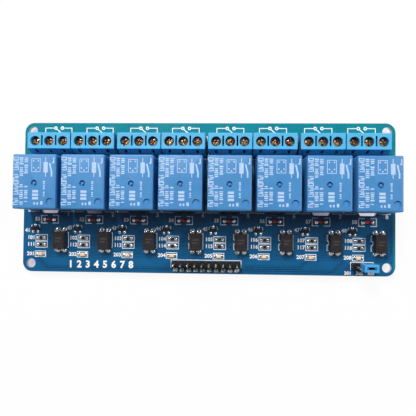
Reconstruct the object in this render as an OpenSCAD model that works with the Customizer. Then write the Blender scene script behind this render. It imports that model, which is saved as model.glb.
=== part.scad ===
// Relay board: eight sealed relays in a row, each with a three-pole screw
// terminal behind it and its driver parts in front of it.
// X runs along the row, Y runs towards the screw terminals and Z points up.
// The origin lies on the board's underside, midway between the mounting holes.

/* [Relays] */
// Outer width of one relay, along the row
relay_w = 15.4; // [15:0.1:18]
// Outer length of one relay, across the row
relay_l = 19.2; // [19:0.1:22]
// Height of one relay above the board
relay_h = 15.6; // [14.5:0.1:20]
// Gap between neighbouring relays
relay_gap = 1.44; // [0.6:0.02:4]
// Wall of the relay case
case_wall = 0.8; // [0.5:0.05:1]
// Thickness of the relay case's top
case_top = 1.1; // [0.9:0.05:1.4]
// How far each side of the case leans in from bottom to top
case_draft = 0.15; // [0.05:0.05:0.4]
// Radius of the case's upright edges and top edge
case_round = 0.45; // [0.2:0.05:0.8]
// Diameter of the ring-shaped recess in the middle of the case's top
dimple_d = 2.1; // [1:0.1:3]
// Distance of the ring-shaped recess's centre from the case's middle, towards the front
dimple_shift = 0.5; // [0:0.1:2]
// Depth of the ring-shaped recess
dimple_depth = 0.8; // [0.1:0.05:0.8]
// Diameter of the round vent recess near the case's corner
vent_d = 2.6; // [1:0.1:3]
// Depth of the vent recess
vent_depth = 0.5; // [0.1:0.05:0.8]
// Distance from the vent recess's centre to the case's side
vent_side = 2.2; // [1.8:0.1:4]
// Distance from the vent recess's centre to the case's front
vent_front = 2.65; // [1.8:0.05:4]

/* [Relay works] */
// Angle through which an armature swings
throw = 4; // [2:0.5:5]
// Thickness of the moulded base
base_t = 1.6; // [1:0.1:2.2]
// Height of the base's underside above the board
base_recess = 0.3; // [0:0.05:0.8]
// Thickness of the iron yoke and of the armature
iron_t = 1.1; // [0.8:0.1:1.4]
// Width of the iron yoke and of the armature
iron_w = 9; // [7:0.5:10]
// Diameter of the iron core
core_d = 4; // [3:0.1:5]
// Diameter of the core's pole face
pole_d = 6.4; // [5.4:0.1:7.4]
// Outer diameter of the winding
coil_d = 8.8; // [7.4:0.1:9]
// Wall of the bobbin's tube
bobbin_wall = 0.6; // [0.4:0.05:0.8]
// Thickness of the bobbin's flanges
flange_t = 0.7; // [0.4:0.05:1]
// Diameter of the switching contacts
contact_d = 2.2; // [1.6:0.1:2.8]
// Height of a switching contact's button
contact_h = 0.4; // [0.3:0.05:0.6]
// Thickness of the moving contact spring
spring_t = 0.2; // [0.1:0.05:0.3]
// Width of the moving contact spring
spring_w = 4; // [3:0.1:5]
// Thickness of the fixed contacts' sheet metal
blade_t = 0.4; // [0.3:0.05:0.6]
// Width of a relay's flat pin
relay_pin_w = 1; // [0.8:0.05:1.2]
// Distance from the relay's side to the middle of its outer pins
relay_pin_inset = 1.7; // [1.7:0.05:2.4]

/* [Screw terminals] */
// Distance between neighbouring poles
pole_pitch = 5; // [4.8:0.02:5.5]
// Extra wall at each end of a housing
term_end = 0.2; // [0.1:0.05:1]
// Depth of a housing, across the row
term_d = 7.6; // [7.4:0.1:10]
// Height of a housing above the board
term_h = 10; // [9:0.1:14]
// How far the housing's top stands back from its relay side
slope_run = 1.85; // [1.4:0.05:1.95]
// How far the slope drops from the housing's top
slope_drop = 5.8; // [2:0.1:7]
// Gap between the two housings of a pair
pair_gap = 0.36; // [0.04:0.04:1]
// Gap between one pair of housings and the next
block_gap = 1.2; // [0.2:0.02:4]
// How far the row of housings stands right of the board's middle
term_shift = 0.25; // [-1:0.05:1]
// Diameter of the hole over each screw
screw_hole_d = 3.5; // [3.3:0.05:3.9]
// Diameter of a screw's head
screw_head_d = 3.1; // [2.8:0.05:3.2]
// Diameter of a screw's shank
screw_d = 2.4; // [2:0.1:2.5]
// How far a screw's head lies below the housing's top
screw_sink = 1.3; // [1:0.1:3]
// Width of the clamp under each screw
clamp_w = 3.9; // [3.6:0.1:4.1]
// Sheet thickness of the clamp
clamp_t = 0.6; // [0.4:0.05:0.7]
// Width of the wire entry in the housing's outer face
wire_w = 2.8; // [2:0.1:3.2]
// Height of the wire entry
wire_h = 3.4; // [2:0.1:3.6]

/* [Board] */
// Thickness of the circuit board
board_t = 1.6; // [0.8:0.1:2.4]
// Radius of the board's corners
corner_r = 3.6; // [1:0.1:5]
// Diameter of the mounting holes
mount_d = 3.4; // [2.2:0.1:3.8]
// Distance from a mounting hole's centre to each edge of the board
mount_edge = 3.1; // [2.6:0.1:3.3]
// Distance from the board's end to the first relay, less half the relay gap
side_margin = 1.64; // [0:0.02:6]
// Distance from the board's rear edge to the screw terminals
term_setback = 5.3; // [5.1:0.1:9]
// Gap between the screw terminals and the relays
row_gap = 0.87; // [0.3:0.01:4]
// Distance from the relays to the optocouplers
opto_front = 7.83; // [7.6:0.01:12]
// Distance from the optocouplers to the pin headers
header_gap = 3.87; // [3.8:0.01:8]
// Distance from the pin headers to the board's front edge
edge_strip = 2.29; // [0.6:0.01:6]
// Width of the slot milled round each relay's common pin
slot_w = 1.3; // [0.8:0.1:1.6]
// Length of the slot's straight end
slot_l = 6.9; // [6:0.1:7.4]
// How far the slot runs under the relay on each side of the pin
slot_arm = 6; // [4:0.1:8]
// How far all pins stand out under the board
tail_l = 2; // [1:0.1:3]
// Clearance round each pin in its hole in the board
pin_fit = 0.15; // [0.05:0.01:0.2]

/* [Driver parts] */
// Width of an optocoupler's body
opto_w = 4.58; // [4:0.01:5]
// Length of an optocoupler's body, between its rows of leads
opto_l = 6.5; // [6:0.1:8]
// Height of an optocoupler's body
opto_h = 3.5; // [2.5:0.1:4.5]
// Gap under an optocoupler's body
opto_lift = 0.5; // [0.2:0.1:1]
// Distance between two leads in a row, and between header pins
lead_pitch = 2.54; // [2.5:0.01:2.6]
// How far a lead's centre stands out from the body's end
lead_reach = 0.56; // [0.4:0.01:1]
// Thickness of the lead sheet
lead_t = 0.25; // [0.15:0.01:0.35]
// Length of a diode
diode_l = 3.6; // [3:0.1:4.5]
// Diameter of a diode
diode_d = 1.5; // [1.2:0.1:2]
// Length of a chip resistor and of a status lamp
chip_l = 2; // [1.6:0.1:2.4]
// Width of a chip resistor and of a status lamp
chip_w = 1.25; // [0.8:0.05:1.6]
// Thickness of a chip resistor
chip_h = 0.55; // [0.3:0.05:0.8]
// Height of a status lamp
lamp_h = 0.8; // [0.6:0.05:1.2]
// Length of a transistor's body
sot_l = 2.9; // [2.4:0.1:3.2]
// Width of a transistor's body
sot_w = 1.3; // [1:0.1:1.6]
// Height of a transistor's body
sot_h = 1; // [0.8:0.1:1.3]

/* [Headers] */
// Width and height of a header's plastic strip
header_w = 2.54; // [2:0.01:3]
// Side of a square header pin
header_pin = 0.64; // [0.5:0.01:0.7]
// Length of a pin above the plastic strip
header_pin_l = 6; // [4:0.1:9]
// Distance from the board's end to the middle pin of the power header
power_inset = 12.05; // [11.6:0.05:20]
// Length of the jumper cap over its two pins
cap_l = 4.92; // [4.9:0.01:5.05]
// Width of the jumper cap
cap_w = 2.8; // [2.2:0.05:3]
// Height of the jumper cap
cap_h = 6; // [5:0.1:9]
// Wall of the jumper cap
cap_wall = 0.4; // [0.3:0.05:0.45]

/* [Hidden] */

channels = 8;
poles = 3;
input_count = 10;
power_count = 3;
eps = 0.01;    // how far a cutting shape runs past the face it cuts
snug = 0.03;   // clearance between pieces that are pressed together
fit = 0.05;    // clearance between pieces that slide into place
$fn = 32;

// The rows, from the board's rear edge to its front edge
relay_pitch = relay_w + relay_gap;
term_w = poles * pole_pitch + 2 * term_end;
pair_pitch = 2 * term_w + pair_gap + block_gap;
term_row = channels / 2 * pair_pitch - block_gap;
board_l = max(channels * relay_pitch, term_row + 2 * term_shift) + 2 * side_margin;
board_w = term_setback + term_d + row_gap + relay_l + opto_front + opto_l
        + header_gap + header_w + edge_strip;
term_y = board_w / 2 - term_setback - term_d;
relay_y = term_y - row_gap - relay_l / 2;
front_y = relay_y - relay_l / 2;
opto_y = front_y - opto_front - opto_l / 2;
header_y = -board_w / 2 + edge_strip + header_w / 2;
power_x = board_l / 2 - power_inset;
mount_x = board_l / 2 - mount_edge;
mount_y = board_w / 2 - mount_edge;
under = -board_t - tail_l;   // lowest point of all pins, from the board's top

// Places of one channel's small parts, from the middle of its relay.
// They were laid out by hand, so each column stands a little off its place.
column_shift = [0.5, -0.3, -0.3, -0.5, 0.1, -0.1, 0.2, 0.5];
opto_shift = [0.1, -0.1, -0.2, 0.1, -0.1, -0.4, 0.4, -0.5];
chip_x = -3.6;
lamp_x = -3.85;
transistor_x = -5.95;
opto_x = 4.45;
diode_gap = 3.4;         // from the relays to the diodes
transistor_gap = 3.45;   // from the diodes to the transistors
chip_rise = 0.75;        // from the optocouplers' middle back to the first resistors
chip_step = 2.55;        // from the first resistors to the second ones
lamp_gap = 3.55;         // from the second resistors to the lamps
diode_y = front_y - diode_gap;
transistor_y = diode_y - transistor_gap;
chip_y = opto_y + chip_rise;
lamp_y = chip_y - chip_step - lamp_gap;

// Inside of a relay, from the middle of its footprint on the board's top
relay_pin_span = relay_w - 2 * relay_pin_inset;
case_x = relay_w / 2 - case_wall - case_draft;
case_y = relay_l / 2 - case_wall - case_draft;
case_z = relay_h - case_top;
deck_z = base_recess + base_t;
contact_row = relay_l / 2 - 2.5;
common_row = -contact_row;
coil_row = common_row + 2;
yoke_y = common_row + blade_t / 2;
coil_y = yoke_y + iron_t + 0.2 + coil_d / 2;
contact_y = contact_row - 0.5;
closed_z = case_z - 0.6 - blade_t - contact_h;   // underside of the upper fixed contact
swing = (contact_y - yoke_y) * sin(throw);
tilt_room = contact_d / 2 * sin(throw) + fit;
armature_z = closed_z - tilt_room - swing - contact_h - spring_t - iron_t;
yoke_z = armature_z - snug;
spring_z = armature_z + iron_t;
open_z = spring_z - contact_h - fit;             // top of the lower fixed contact
flange_z = yoke_z - iron_t / 2;                  // top of the bobbin
seat_z = deck_z + iron_t;                        // bottom of the bobbin

// Inside of a screw terminal, from the foot of its relay side
top_y = slope_run;
screw_y = (top_y + term_d) / 2 - 0.2;
chamber_w = clamp_w + 2 * fit;
chamber_y = 2;
front_wall = 0.7;
clamp_l = term_d - front_wall - chamber_y - 2 * fit;
clamp_z = 0.6;
screw_top = term_h - screw_sink;
head_h = 1.2;
clamp_top = screw_top - head_h - fit;
thread_h = 1.1;
wire_z = clamp_z + clamp_t;
leaf_z = wire_z + wire_h - 0.6;
leaf_t = 0.3;
shank_end = leaf_z + fit;
clamp_pin_w = 1;
clamp_pin_t = 0.8;

function relay_x(i) = (i - (channels - 1) / 2) * relay_pitch;
function term_x(i) = (floor(i / 2) - (channels / 2 - 1) / 2) * pair_pitch
                   + (i % 2 - 0.5) * (term_w + pair_gap) + term_shift;
function column_x(i) = relay_x(i) + column_shift[i];
function opto_cx(i) = relay_x(i) + opto_x + opto_shift[i];
function pole_x(p) = (p - (poles - 1) / 2) * pole_pitch;
function pin_x(n, count) = (n - (count - 1) / 2) * lead_pitch;
function round_hole(w, t) = sqrt(w * w + t * t) + 2 * pin_fit;

// ---- shared shapes ----

// Box centred on X and Y, from height z0 to height z1
module block(w, l, z0, z1) {
  translate([-w / 2, -l / 2, z0]) cube([w, l, z1 - z0]);
}

module rounded_plate(w, l, r, h) {
  linear_extrude(height = h) {
    square([w - 2 * r, l], center = true);
    square([w, l - 2 * r], center = true);
    for (sx = [-1, 1], sy = [-1, 1])
      translate([sx * (w / 2 - r), sy * (l / 2 - r)]) circle(r);
  }
}

// Outline in Y and Z carried along X, centred on X
module along_x(w, outline) {
  translate([-w / 2, 0, 0]) rotate([90, 0, 90]) linear_extrude(height = w) polygon(outline);
}

module on_relay(i) { translate([relay_x(i), relay_y, board_t]) children(); }
module on_relays() { for (i = [0 : channels - 1]) on_relay(i) children(); }
module on_terminal(i) { translate([term_x(i), term_y, board_t]) children(); }
module on_poles() {
  for (i = [0 : channels - 1], p = [0 : poles - 1])
    on_terminal(i) translate([pole_x(p), 0, 0]) children();
}
module on_leads() {
  for (sx = [-1, 1], side = [0, 1])
    rotate([0, 0, 180 * side])
      translate([sx * lead_pitch / 2, opto_l / 2 + lead_reach, 0]) children();
}

// ---- board ----

module milled_slot() {
  half = slot_l / 2;
  lip = slot_w * 0.6;
  translate([0, front_y - relay_y - 1.05, -board_t - eps])
    linear_extrude(height = board_t + 2 * eps)
      polygon([
        [-half + lip, 0], [half - lip, 0], [half, slot_w], [half, slot_w + slot_arm],
        [half - slot_w, slot_w + slot_arm], [half - slot_w, slot_w],
        [-half + slot_w, slot_w], [-half + slot_w, slot_w + slot_arm],
        [-half, slot_w + slot_arm], [-half, slot_w]
      ]);
}

module drill(d) { translate([0, 0, -board_t - eps]) cylinder(d = d, h = board_t + 2 * eps); }

module relay_drills() {
  d = round_hole(relay_pin_w, blade_t);
  translate([0, common_row, 0]) drill(d);
  for (sx = [-1, 1], y = [coil_row, contact_row])
    translate([sx * relay_pin_span / 2, y, 0]) drill(d);
}

module header_drills(count) {
  for (n = [0 : count - 1])
    translate([pin_x(n, count), 0, 0]) drill(round_hole(header_pin, header_pin));
}

module circuit_board() {
  color("#12577f") difference() {
    rounded_plate(board_l, board_w, corner_r, board_t);
    for (sx = [-1, 1], sy = [-1, 1])
      translate([sx * mount_x, sy * mount_y, -eps]) cylinder(d = mount_d, h = board_t + 2 * eps);
    on_relays() milled_slot();
    on_relays() relay_drills();
    on_poles() translate([0, screw_y, 0]) drill(round_hole(clamp_pin_w, clamp_pin_t));
    for (i = [0 : channels - 1])
      translate([opto_cx(i), opto_y, board_t]) on_leads() drill(round_hole(2 * lead_t, lead_t));
    translate([0, header_y, board_t]) header_drills(input_count);
    translate([power_x, header_y, board_t]) header_drills(power_count);
  }
}

// ---- relays ----

// Blunt box whose sides lean in, with round upright edges and a round top edge
module case_body() {
  w1 = relay_w - 2 * case_draft;
  l1 = relay_l - 2 * case_draft;
  hull() {
    rounded_plate(relay_w, relay_l, case_round, eps);
    for (a = [0 : 30 : 90]) {
      inset = case_round * (1 - cos(a));
      translate([0, 0, relay_h - case_round * (1 - sin(a)) - eps])
        rounded_plate(w1 - 2 * inset, l1 - 2 * inset, case_round, eps, $fn = 24);
    }
  }
}

module relay_case(i) {
  color("#4d8fd0") on_relay(i) difference() {
    case_body();
    block(2 * case_x, 2 * case_y, -eps, case_z);
    translate([relay_w / 2 - vent_side, vent_front - relay_l / 2, relay_h - vent_depth])
      cylinder(d = vent_d, h = 1);
    translate([0, -dimple_shift, relay_h - dimple_depth]) difference() {
      cylinder(d = dimple_d, h = 1);
      translate([0, 0, -eps]) cylinder(d = dimple_d * 0.45, h = dimple_depth);
    }
  }
}

// Iron plate, contact spring and moving contact, riveted together as one
module relay_armature(i) {
  color("#b9b4a6") on_relay(i)
    translate([0, yoke_y, armature_z]) rotate([throw, 0, 0]) translate([0, -yoke_y, -armature_z]) {
      front = coil_y + pole_d / 2 + 0.4;
      translate([-iron_w / 2, yoke_y, armature_z]) cube([iron_w, front - yoke_y, iron_t]);
      translate([-spring_w / 2, yoke_y, spring_z])
        cube([spring_w, contact_y + contact_d / 2 + 0.2 - yoke_y, spring_t]);
      translate([0, contact_y, spring_z - contact_h])
        cylinder(d = contact_d, h = 2 * contact_h + spring_t);
    }
}

module relay_bases() {
  color("#30343a") on_relays() difference() {
    block(2 * (case_x - fit), 2 * (case_y - fit), base_recess, deck_z);
    translate([0, common_row, 0]) block(relay_pin_w + 2 * fit, blade_t + 2 * fit, 0, deck_z + eps);
    for (sx = [-1, 1], y = [coil_row, contact_row]) translate([sx * relay_pin_span / 2, y, 0])
      block(relay_pin_w + 2 * fit, blade_t + 2 * fit, 0, deck_z + eps);
  }
}

// L-shaped iron: a foot under the coil and a wall beside it
module relay_yokes() {
  foot_end = coil_y + core_d / 2 + 1.2;
  color("#9aa0a6") on_relays() difference() {
    along_x(iron_w, [
      [yoke_y, deck_z], [foot_end, deck_z], [foot_end, seat_z],
      [yoke_y + iron_t, seat_z], [yoke_y + iron_t, yoke_z], [yoke_y, yoke_z]
    ]);
    translate([0, coil_y, deck_z - eps]) cylinder(d = core_d + 2 * snug, h = iron_t + 2 * eps);
  }
}

module relay_cores() {
  color("#8d9399") on_relays() translate([0, coil_y, 0]) {
    translate([0, 0, deck_z]) cylinder(d = core_d, h = flange_z - deck_z + snug + eps);
    translate([0, 0, flange_z + snug]) cylinder(d = pole_d, h = yoke_z - flange_z - snug);
  }
}

// Spool with round flanges, and a wide foot that holds the coil pins
module relay_bobbins() {
  tube_d = core_d + 2 * snug + 2 * bobbin_wall;
  foot_w = relay_pin_span + relay_pin_w + 0.4;
  color("#d8d2c0") on_relays() difference() {
    union() {
      translate([0, coil_y, seat_z]) cylinder(d = tube_d, h = flange_z - seat_z);
      translate([0, coil_y, seat_z]) cylinder(d = coil_d + 0.2, h = flange_t);
      translate([0, coil_y, flange_z - flange_t]) cylinder(d = coil_d + 0.2, h = flange_t);
      translate([-foot_w / 2, coil_row - 0.4, seat_z]) cube([foot_w, 2.4, flange_t]);
    }
    translate([0, coil_y, 0]) cylinder(d = core_d + 2 * snug, h = relay_h);
    for (sx = [-1, 1]) translate([sx * relay_pin_span / 2, coil_row, 0])
      block(relay_pin_w + 2 * fit, blade_t + 2 * fit, 0, relay_h);
  }
}

module relay_windings() {
  tube_d = core_d + 4 * snug + 2 * bobbin_wall;
  color("#a5562b") on_relays() translate([0, coil_y, seat_z + flange_t + snug]) difference() {
    cylinder(d = coil_d, h = flange_z - seat_z - 2 * flange_t - 2 * snug);
    translate([0, 0, -eps]) cylinder(d = tube_d, h = relay_h);
  }
}

module relay_coil_pins() {
  color("#c9ccd0") on_relays() for (sx = [-1, 1])
    translate([sx * relay_pin_span / 2, coil_row, 0])
      block(relay_pin_w, blade_t, under, seat_z + flange_t + 0.9);
}

// Fixed half of the contact spring: it runs up the yoke and down to the common pin
module relay_common_springs() {
  color("#c98a4b") on_relays() translate([0, common_row, 0]) {
    block(relay_pin_w, blade_t, under, deck_z + eps);
    block(spring_w, blade_t, deck_z, yoke_z - fit);
  }
}

// Pin, upright blade and tab that holds a fixed contact under or over the moving one.
// tab_z is the tab's underside and button_z the contact button's underside.
module fixed_contact(side, tab_z, button_z) {
  reach = relay_pin_span / 2 + relay_pin_w / 2;
  tab_l = contact_row + blade_t / 2 - (contact_y - contact_d / 2);
  translate([side * relay_pin_span / 2, contact_row, 0])
    block(relay_pin_w, blade_t, under, tab_z + blade_t);
  translate([side > 0 ? -contact_d / 2 : -reach, contact_y - contact_d / 2, tab_z])
    cube([reach + contact_d / 2, tab_l, blade_t]);
  translate([0, contact_y, button_z]) cylinder(d = contact_d, h = contact_h);
}

module relay_open_contacts() {
  color("#c98a4b") on_relays()
    fixed_contact(1, open_z - contact_h - blade_t, open_z - contact_h);
}

module relay_closed_contacts() {
  color("#c98a4b") on_relays() fixed_contact(-1, closed_z + contact_h, closed_z);
}

// ---- screw terminals ----

// Screw hole, clamp chamber, wire entry, and a narrow shaft that opens in the slope
module pole_cuts() {
  shaft_w = 0.95;
  shaft_l = 0.9;
  shaft_depth = 5;
  chamber_l = term_d - front_wall - chamber_y;
  translate([0, screw_y, clamp_top]) cylinder(d = screw_hole_d, h = term_h);
  translate([0, chamber_y + chamber_l / 2, 0]) block(chamber_w, chamber_l, -eps, clamp_top + fit);
  translate([0, term_d - front_wall / 2, 0])
    block(wire_w, front_wall + 1, wire_z, wire_z + wire_h);
  translate([0, slope_run - shaft_l / 2 - 0.1, 0])
    block(shaft_w, shaft_l, term_h - shaft_depth, term_h);
}

module terminal_housing(i) {
  bevel = 0.25;
  slit_w = 0.6;
  slit_l = 3.6;
  slit_depth = 4;
  color("#4fb0e8") on_terminal(i) difference() {
    along_x(term_w, [
      [0, 0], [term_d, 0], [term_d, term_h - bevel], [term_d - bevel, term_h],
      [slope_run, term_h], [0, term_h - slope_drop]
    ]);
    for (p = [0 : poles - 1]) translate([pole_x(p), 0, 0]) pole_cuts();
    for (p = [1 : poles - 1]) translate([pole_x(p) - pole_pitch / 2, screw_y + 0.2, 0])
      block(slit_w, slit_l, term_h - slit_depth, term_h + eps);
  }
}

// Folded metal box round the wire, with its pin
module terminal_clamps() {
  inner_w = clamp_w - 2 * clamp_t;
  color("#c8c4b4") on_poles() translate([0, chamber_y + fit + clamp_l / 2, 0]) {
    difference() {
      block(clamp_w, clamp_l, clamp_z, clamp_top);
      block(inner_w, clamp_l + 1, wire_z, clamp_top - thread_h);
      translate([0, screw_y - chamber_y - fit - clamp_l / 2, clamp_top - thread_h - eps])
        cylinder(d = screw_d + 2 * snug, h = thread_h + 1);
    }
    translate([0, screw_y - chamber_y - fit - clamp_l / 2, 0])
      block(clamp_pin_w, clamp_pin_t, under, clamp_z + eps);
  }
}

// Bent strip between the screw's end and the wire
module terminal_leaves() {
  leaf_w = clamp_w - 2 * clamp_t - 2 * fit;
  back = chamber_y + 2 * fit;
  color("#d9c27a") on_poles() along_x(leaf_w, [
    [back, wire_z], [back + leaf_t, wire_z], [back + leaf_t, leaf_z - leaf_t],
    [back + clamp_l - 0.3, leaf_z - leaf_t], [back + clamp_l - 0.3, leaf_z], [back, leaf_z]
  ]);
}

module terminal_screws() {
  recess_w = 0.5;
  recess_l = screw_head_d * 0.62;
  color("#b08a4a") on_poles() translate([0, screw_y, 0]) difference() {
    union() {
      translate([0, 0, screw_top - head_h]) cylinder(d = screw_head_d, h = head_h);
      translate([0, 0, shank_end]) cylinder(d = screw_d, h = screw_top - head_h - shank_end + eps);
    }
    block(recess_w, recess_l, screw_top - head_h / 2, screw_top + eps);
    block(recess_l, recess_w, screw_top - head_h / 2, screw_top + eps);
  }
}

// ---- driver parts ----

// Moulded body that is widest at its middle, with a round mark by its first lead
module optocoupler(i) {
  lean = 0.25;
  mid = opto_lift + opto_h * 0.5;
  top = opto_lift + opto_h;
  color("#2f2a2b") translate([opto_cx(i), opto_y, board_t]) difference() {
    hull() {
      block(opto_w - 2 * lean, opto_l - 2 * lean, opto_lift, top);
      block(opto_w, opto_l, mid - lead_t / 2, mid + lead_t / 2);
    }
    translate([-opto_w / 2 + 1, -opto_l / 2 + 1.1, top - 0.15]) cylinder(d = 0.8, h = 1);
  }
}

// Each lead leaves the body's end, turns down, narrows and goes through the board
module optocoupler_leads() {
  mid = opto_lift + opto_h * 0.5;
  shoulder_w = 1.2;
  shoulder_z = opto_lift + 0.3;
  color("#d2d4d6") for (i = [0 : channels - 1])
    translate([opto_cx(i), opto_y, board_t]) on_leads() {
      translate([0, (lead_t / 2 - lead_reach) / 2, 0])
        block(shoulder_w, lead_reach + lead_t / 2 - 2 * eps, mid - lead_t / 2, mid + lead_t / 2);
      block(shoulder_w, lead_t, shoulder_z, mid + lead_t / 2);
      block(2 * lead_t, lead_t, under, shoulder_z + eps);
    }
}

module on_transistors() {
  for (i = [0 : channels - 1])
    translate([column_x(i) + transistor_x, transistor_y, board_t]) children();
}

module transistors() {
  lean = 0.12;
  color("#26262a") on_transistors() hull() {
    block(sot_l - 2 * lean, sot_w - 2 * lean, 0.1, sot_h);
    block(sot_l, sot_w, sot_h * 0.45, sot_h * 0.55);
  }
}

// One lead at the back and two at the front, each stepped down to the board
module transistor_leads() {
  lead_w = 0.42;
  sheet = 0.14;
  reach = 0.55;
  mid = sot_h / 2;
  spread = 0.95;
  color("#cfd2d4") on_transistors() for (place = [[0, 0], [-spread, 180], [spread, 180]])
    translate([place[0], 0, 0]) rotate([0, 0, place[1]]) translate([0, sot_w / 2 + eps, 0])
      along_x(lead_w, [
        [0, mid - sheet / 2], [reach * 0.3, mid - sheet / 2], [reach * 0.5, 0], [reach, 0],
        [reach, sheet], [reach * 0.65, sheet], [reach * 0.45, mid + sheet / 2], [0, mid + sheet / 2]
      ]);
}

// Round glass body with a wider metal cap at each end, lying on the board
module diodes() {
  cap = 0.5;
  glass_d = diode_d * 0.94;
  color("#c4432c") for (i = [0 : channels - 1])
    translate([relay_x(i), diode_y, board_t + diode_d / 2]) rotate([0, 90, 0]) {
      cylinder(d = glass_d, h = diode_l - cap, center = true);
      for (s = [-1, 1]) translate([0, 0, s * (diode_l - cap) / 2])
        cylinder(d = diode_d, h = cap, center = true);
    }
}

module resistors() {
  color("#22252a") for (i = [0 : channels - 1], row = [0, 1])
    translate([column_x(i) + chip_x, chip_y - row * chip_step, board_t])
      block(chip_l, chip_w, 0, chip_h);
}

module status_lamps() {
  foot_h = 0.3;
  color("#f3d9b8") for (i = [0 : channels - 1])
    translate([column_x(i) + lamp_x, lamp_y, board_t]) {
      block(chip_l, chip_w, 0, foot_h);
      block(chip_l * 0.85, chip_w, foot_h - eps, lamp_h);
    }
}

// ---- headers and jumper ----

// Plastic strip with a notch between neighbouring pins
module header_strip(count) {
  notch = header_w * 0.2;
  difference() {
    block(count * lead_pitch, header_w, 0, header_w);
    for (n = [0 : count], sy = [-1, 1])
      translate([pin_x(n, count) - lead_pitch / 2, sy * header_w / 2, -eps])
        rotate([0, 0, 45]) block(notch * sqrt(2), notch * sqrt(2), 0, header_w + 2 * eps);
    for (n = [0 : count - 1]) translate([pin_x(n, count), 0, 0])
      block(header_pin + 2 * snug, header_pin + 2 * snug, -eps, header_w + eps);
  }
}

module header_pins(count) {
  tip = 0.4;
  for (n = [0 : count - 1]) translate([pin_x(n, count), 0, 0]) {
    block(header_pin, header_pin, under, header_w + header_pin_l - tip);
    translate([0, 0, header_w + header_pin_l - tip])
      linear_extrude(height = tip, scale = 0.5) square(header_pin, center = true);
  }
}

module on_input() { translate([0, header_y, board_t]) children(); }
module on_power() { translate([power_x, header_y, board_t]) children(); }
module on_jumper() {
  on_power() translate([lead_pitch / 2, 0, header_w + fit]) children();
}

module input_header() { color("#1d1d1f") on_input() header_strip(input_count); }
module input_pins() { color("#d8c48a") on_input() header_pins(input_count); }
module power_header() { color("#1d1d1f") on_power() header_strip(power_count); }
module power_pins() { color("#d8c48a") on_power() header_pins(power_count); }

// Open-topped cap over two pins
module jumper_cap() {
  roof = 0.7;
  mouth_l = lead_pitch + header_pin + 0.1;
  mouth_w = header_pin + 0.3;
  color("#4fb0ee") on_jumper() difference() {
    rounded_plate(cap_l, cap_w, 0.25, cap_h);
    block(cap_l - 2 * cap_wall, cap_w - 2 * cap_wall, -eps, cap_h - roof);
    block(mouth_l, mouth_w, cap_h - roof - eps, cap_h + eps);
  }
}

// Folded spring strip round both pins, held in the cap
module jumper_clip() {
  sheet = 0.2;
  bottom = 0.5;
  length = lead_pitch + header_pin + 2 * fit + 2 * sheet;
  width = header_pin + 2 * fit + 2 * sheet;
  color("#c9ccd0") on_jumper() difference() {
    block(length, width, bottom, cap_h - 1.3);
    block(length - 2 * sheet, width - 2 * sheet, bottom - eps, cap_h);
  }
}

// ---- what is drawn ----

circuit_board();
for (i = [0 : channels - 1]) {
  relay_case(i);
  relay_armature(i);
  terminal_housing(i);
  optocoupler(i);
}
relay_bases();
relay_yokes();
relay_cores();
relay_bobbins();
relay_windings();
relay_coil_pins();
relay_common_springs();
relay_open_contacts();
relay_closed_contacts();
terminal_clamps();
terminal_leaves();
terminal_screws();
optocoupler_leads();
transistors();
transistor_leads();
diodes();
resistors();
status_lamps();
input_header();
input_pins();
power_header();
power_pins();
jumper_cap();
jumper_clip();
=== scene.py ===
"""Finishes and fine detail of an eight-channel relay board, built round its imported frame.

Shapes are worked out in millimetres, as in the board's own drawings, and put() turns them into metres.
"""

import math

import bmesh
import bpy
import numpy as np
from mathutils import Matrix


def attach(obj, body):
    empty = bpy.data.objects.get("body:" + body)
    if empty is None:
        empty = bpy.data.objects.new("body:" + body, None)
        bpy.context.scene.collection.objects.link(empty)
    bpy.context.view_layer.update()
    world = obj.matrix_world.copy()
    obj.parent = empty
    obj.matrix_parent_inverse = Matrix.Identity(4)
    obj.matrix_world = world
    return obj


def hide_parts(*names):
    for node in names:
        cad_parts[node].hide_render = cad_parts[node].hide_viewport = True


bl_info = {
    "name": "Relay board finishes",
    "version": (1, 0, 0),
    "blender": (4, 5, 0),
    "location": "3D View > Sidebar > Relay board",
    "description": "Gives an eight-channel relay board its plastics, metals, copper, solder and print",
    "category": "Object",
}

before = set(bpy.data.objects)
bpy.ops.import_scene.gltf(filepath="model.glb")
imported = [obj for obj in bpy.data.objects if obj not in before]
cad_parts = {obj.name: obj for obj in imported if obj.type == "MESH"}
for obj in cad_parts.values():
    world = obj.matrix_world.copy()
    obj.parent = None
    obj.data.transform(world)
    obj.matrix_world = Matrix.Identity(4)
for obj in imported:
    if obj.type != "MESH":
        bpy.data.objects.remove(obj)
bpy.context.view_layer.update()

MM = 0.001
CHANNELS = range(1, 9)


# ---- settings ----


def linear(hex_code):
    """An sRGB hex colour as linear red, green, blue and alpha."""
    levels = [int(hex_code[i : i + 2], 16) / 255 for i in (1, 3, 5)]
    curved = [v / 12.92 if v <= 0.04045 else ((v + 0.055) / 1.055) ** 2.4 for v in levels]
    return (*curved, 1.0)


def length(name, description, default):
    """A size in the sidebar, with its default given in millimetres."""
    return bpy.props.FloatProperty(
        name=name, description=description, default=default * MM, min=0.0, unit="LENGTH", precision=5
    )


def colour(name, description, hex_code):
    """A colour in the sidebar, with its default given as sRGB hex."""
    return bpy.props.FloatVectorProperty(
        name=name,
        description=description,
        default=linear(hex_code),
        size=4,
        min=0.0,
        max=1.0,
        subtype="COLOR",
    )


def factor(name, description, default):
    """A plain number in the sidebar that doesn't go below zero."""
    return bpy.props.FloatProperty(name=name, description=description, default=default, min=0.0)


def settings_group(kind, name, description):
    """One group of settings inside another."""
    return bpy.props.PointerProperty(type=kind, name=name, description=description)


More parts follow.
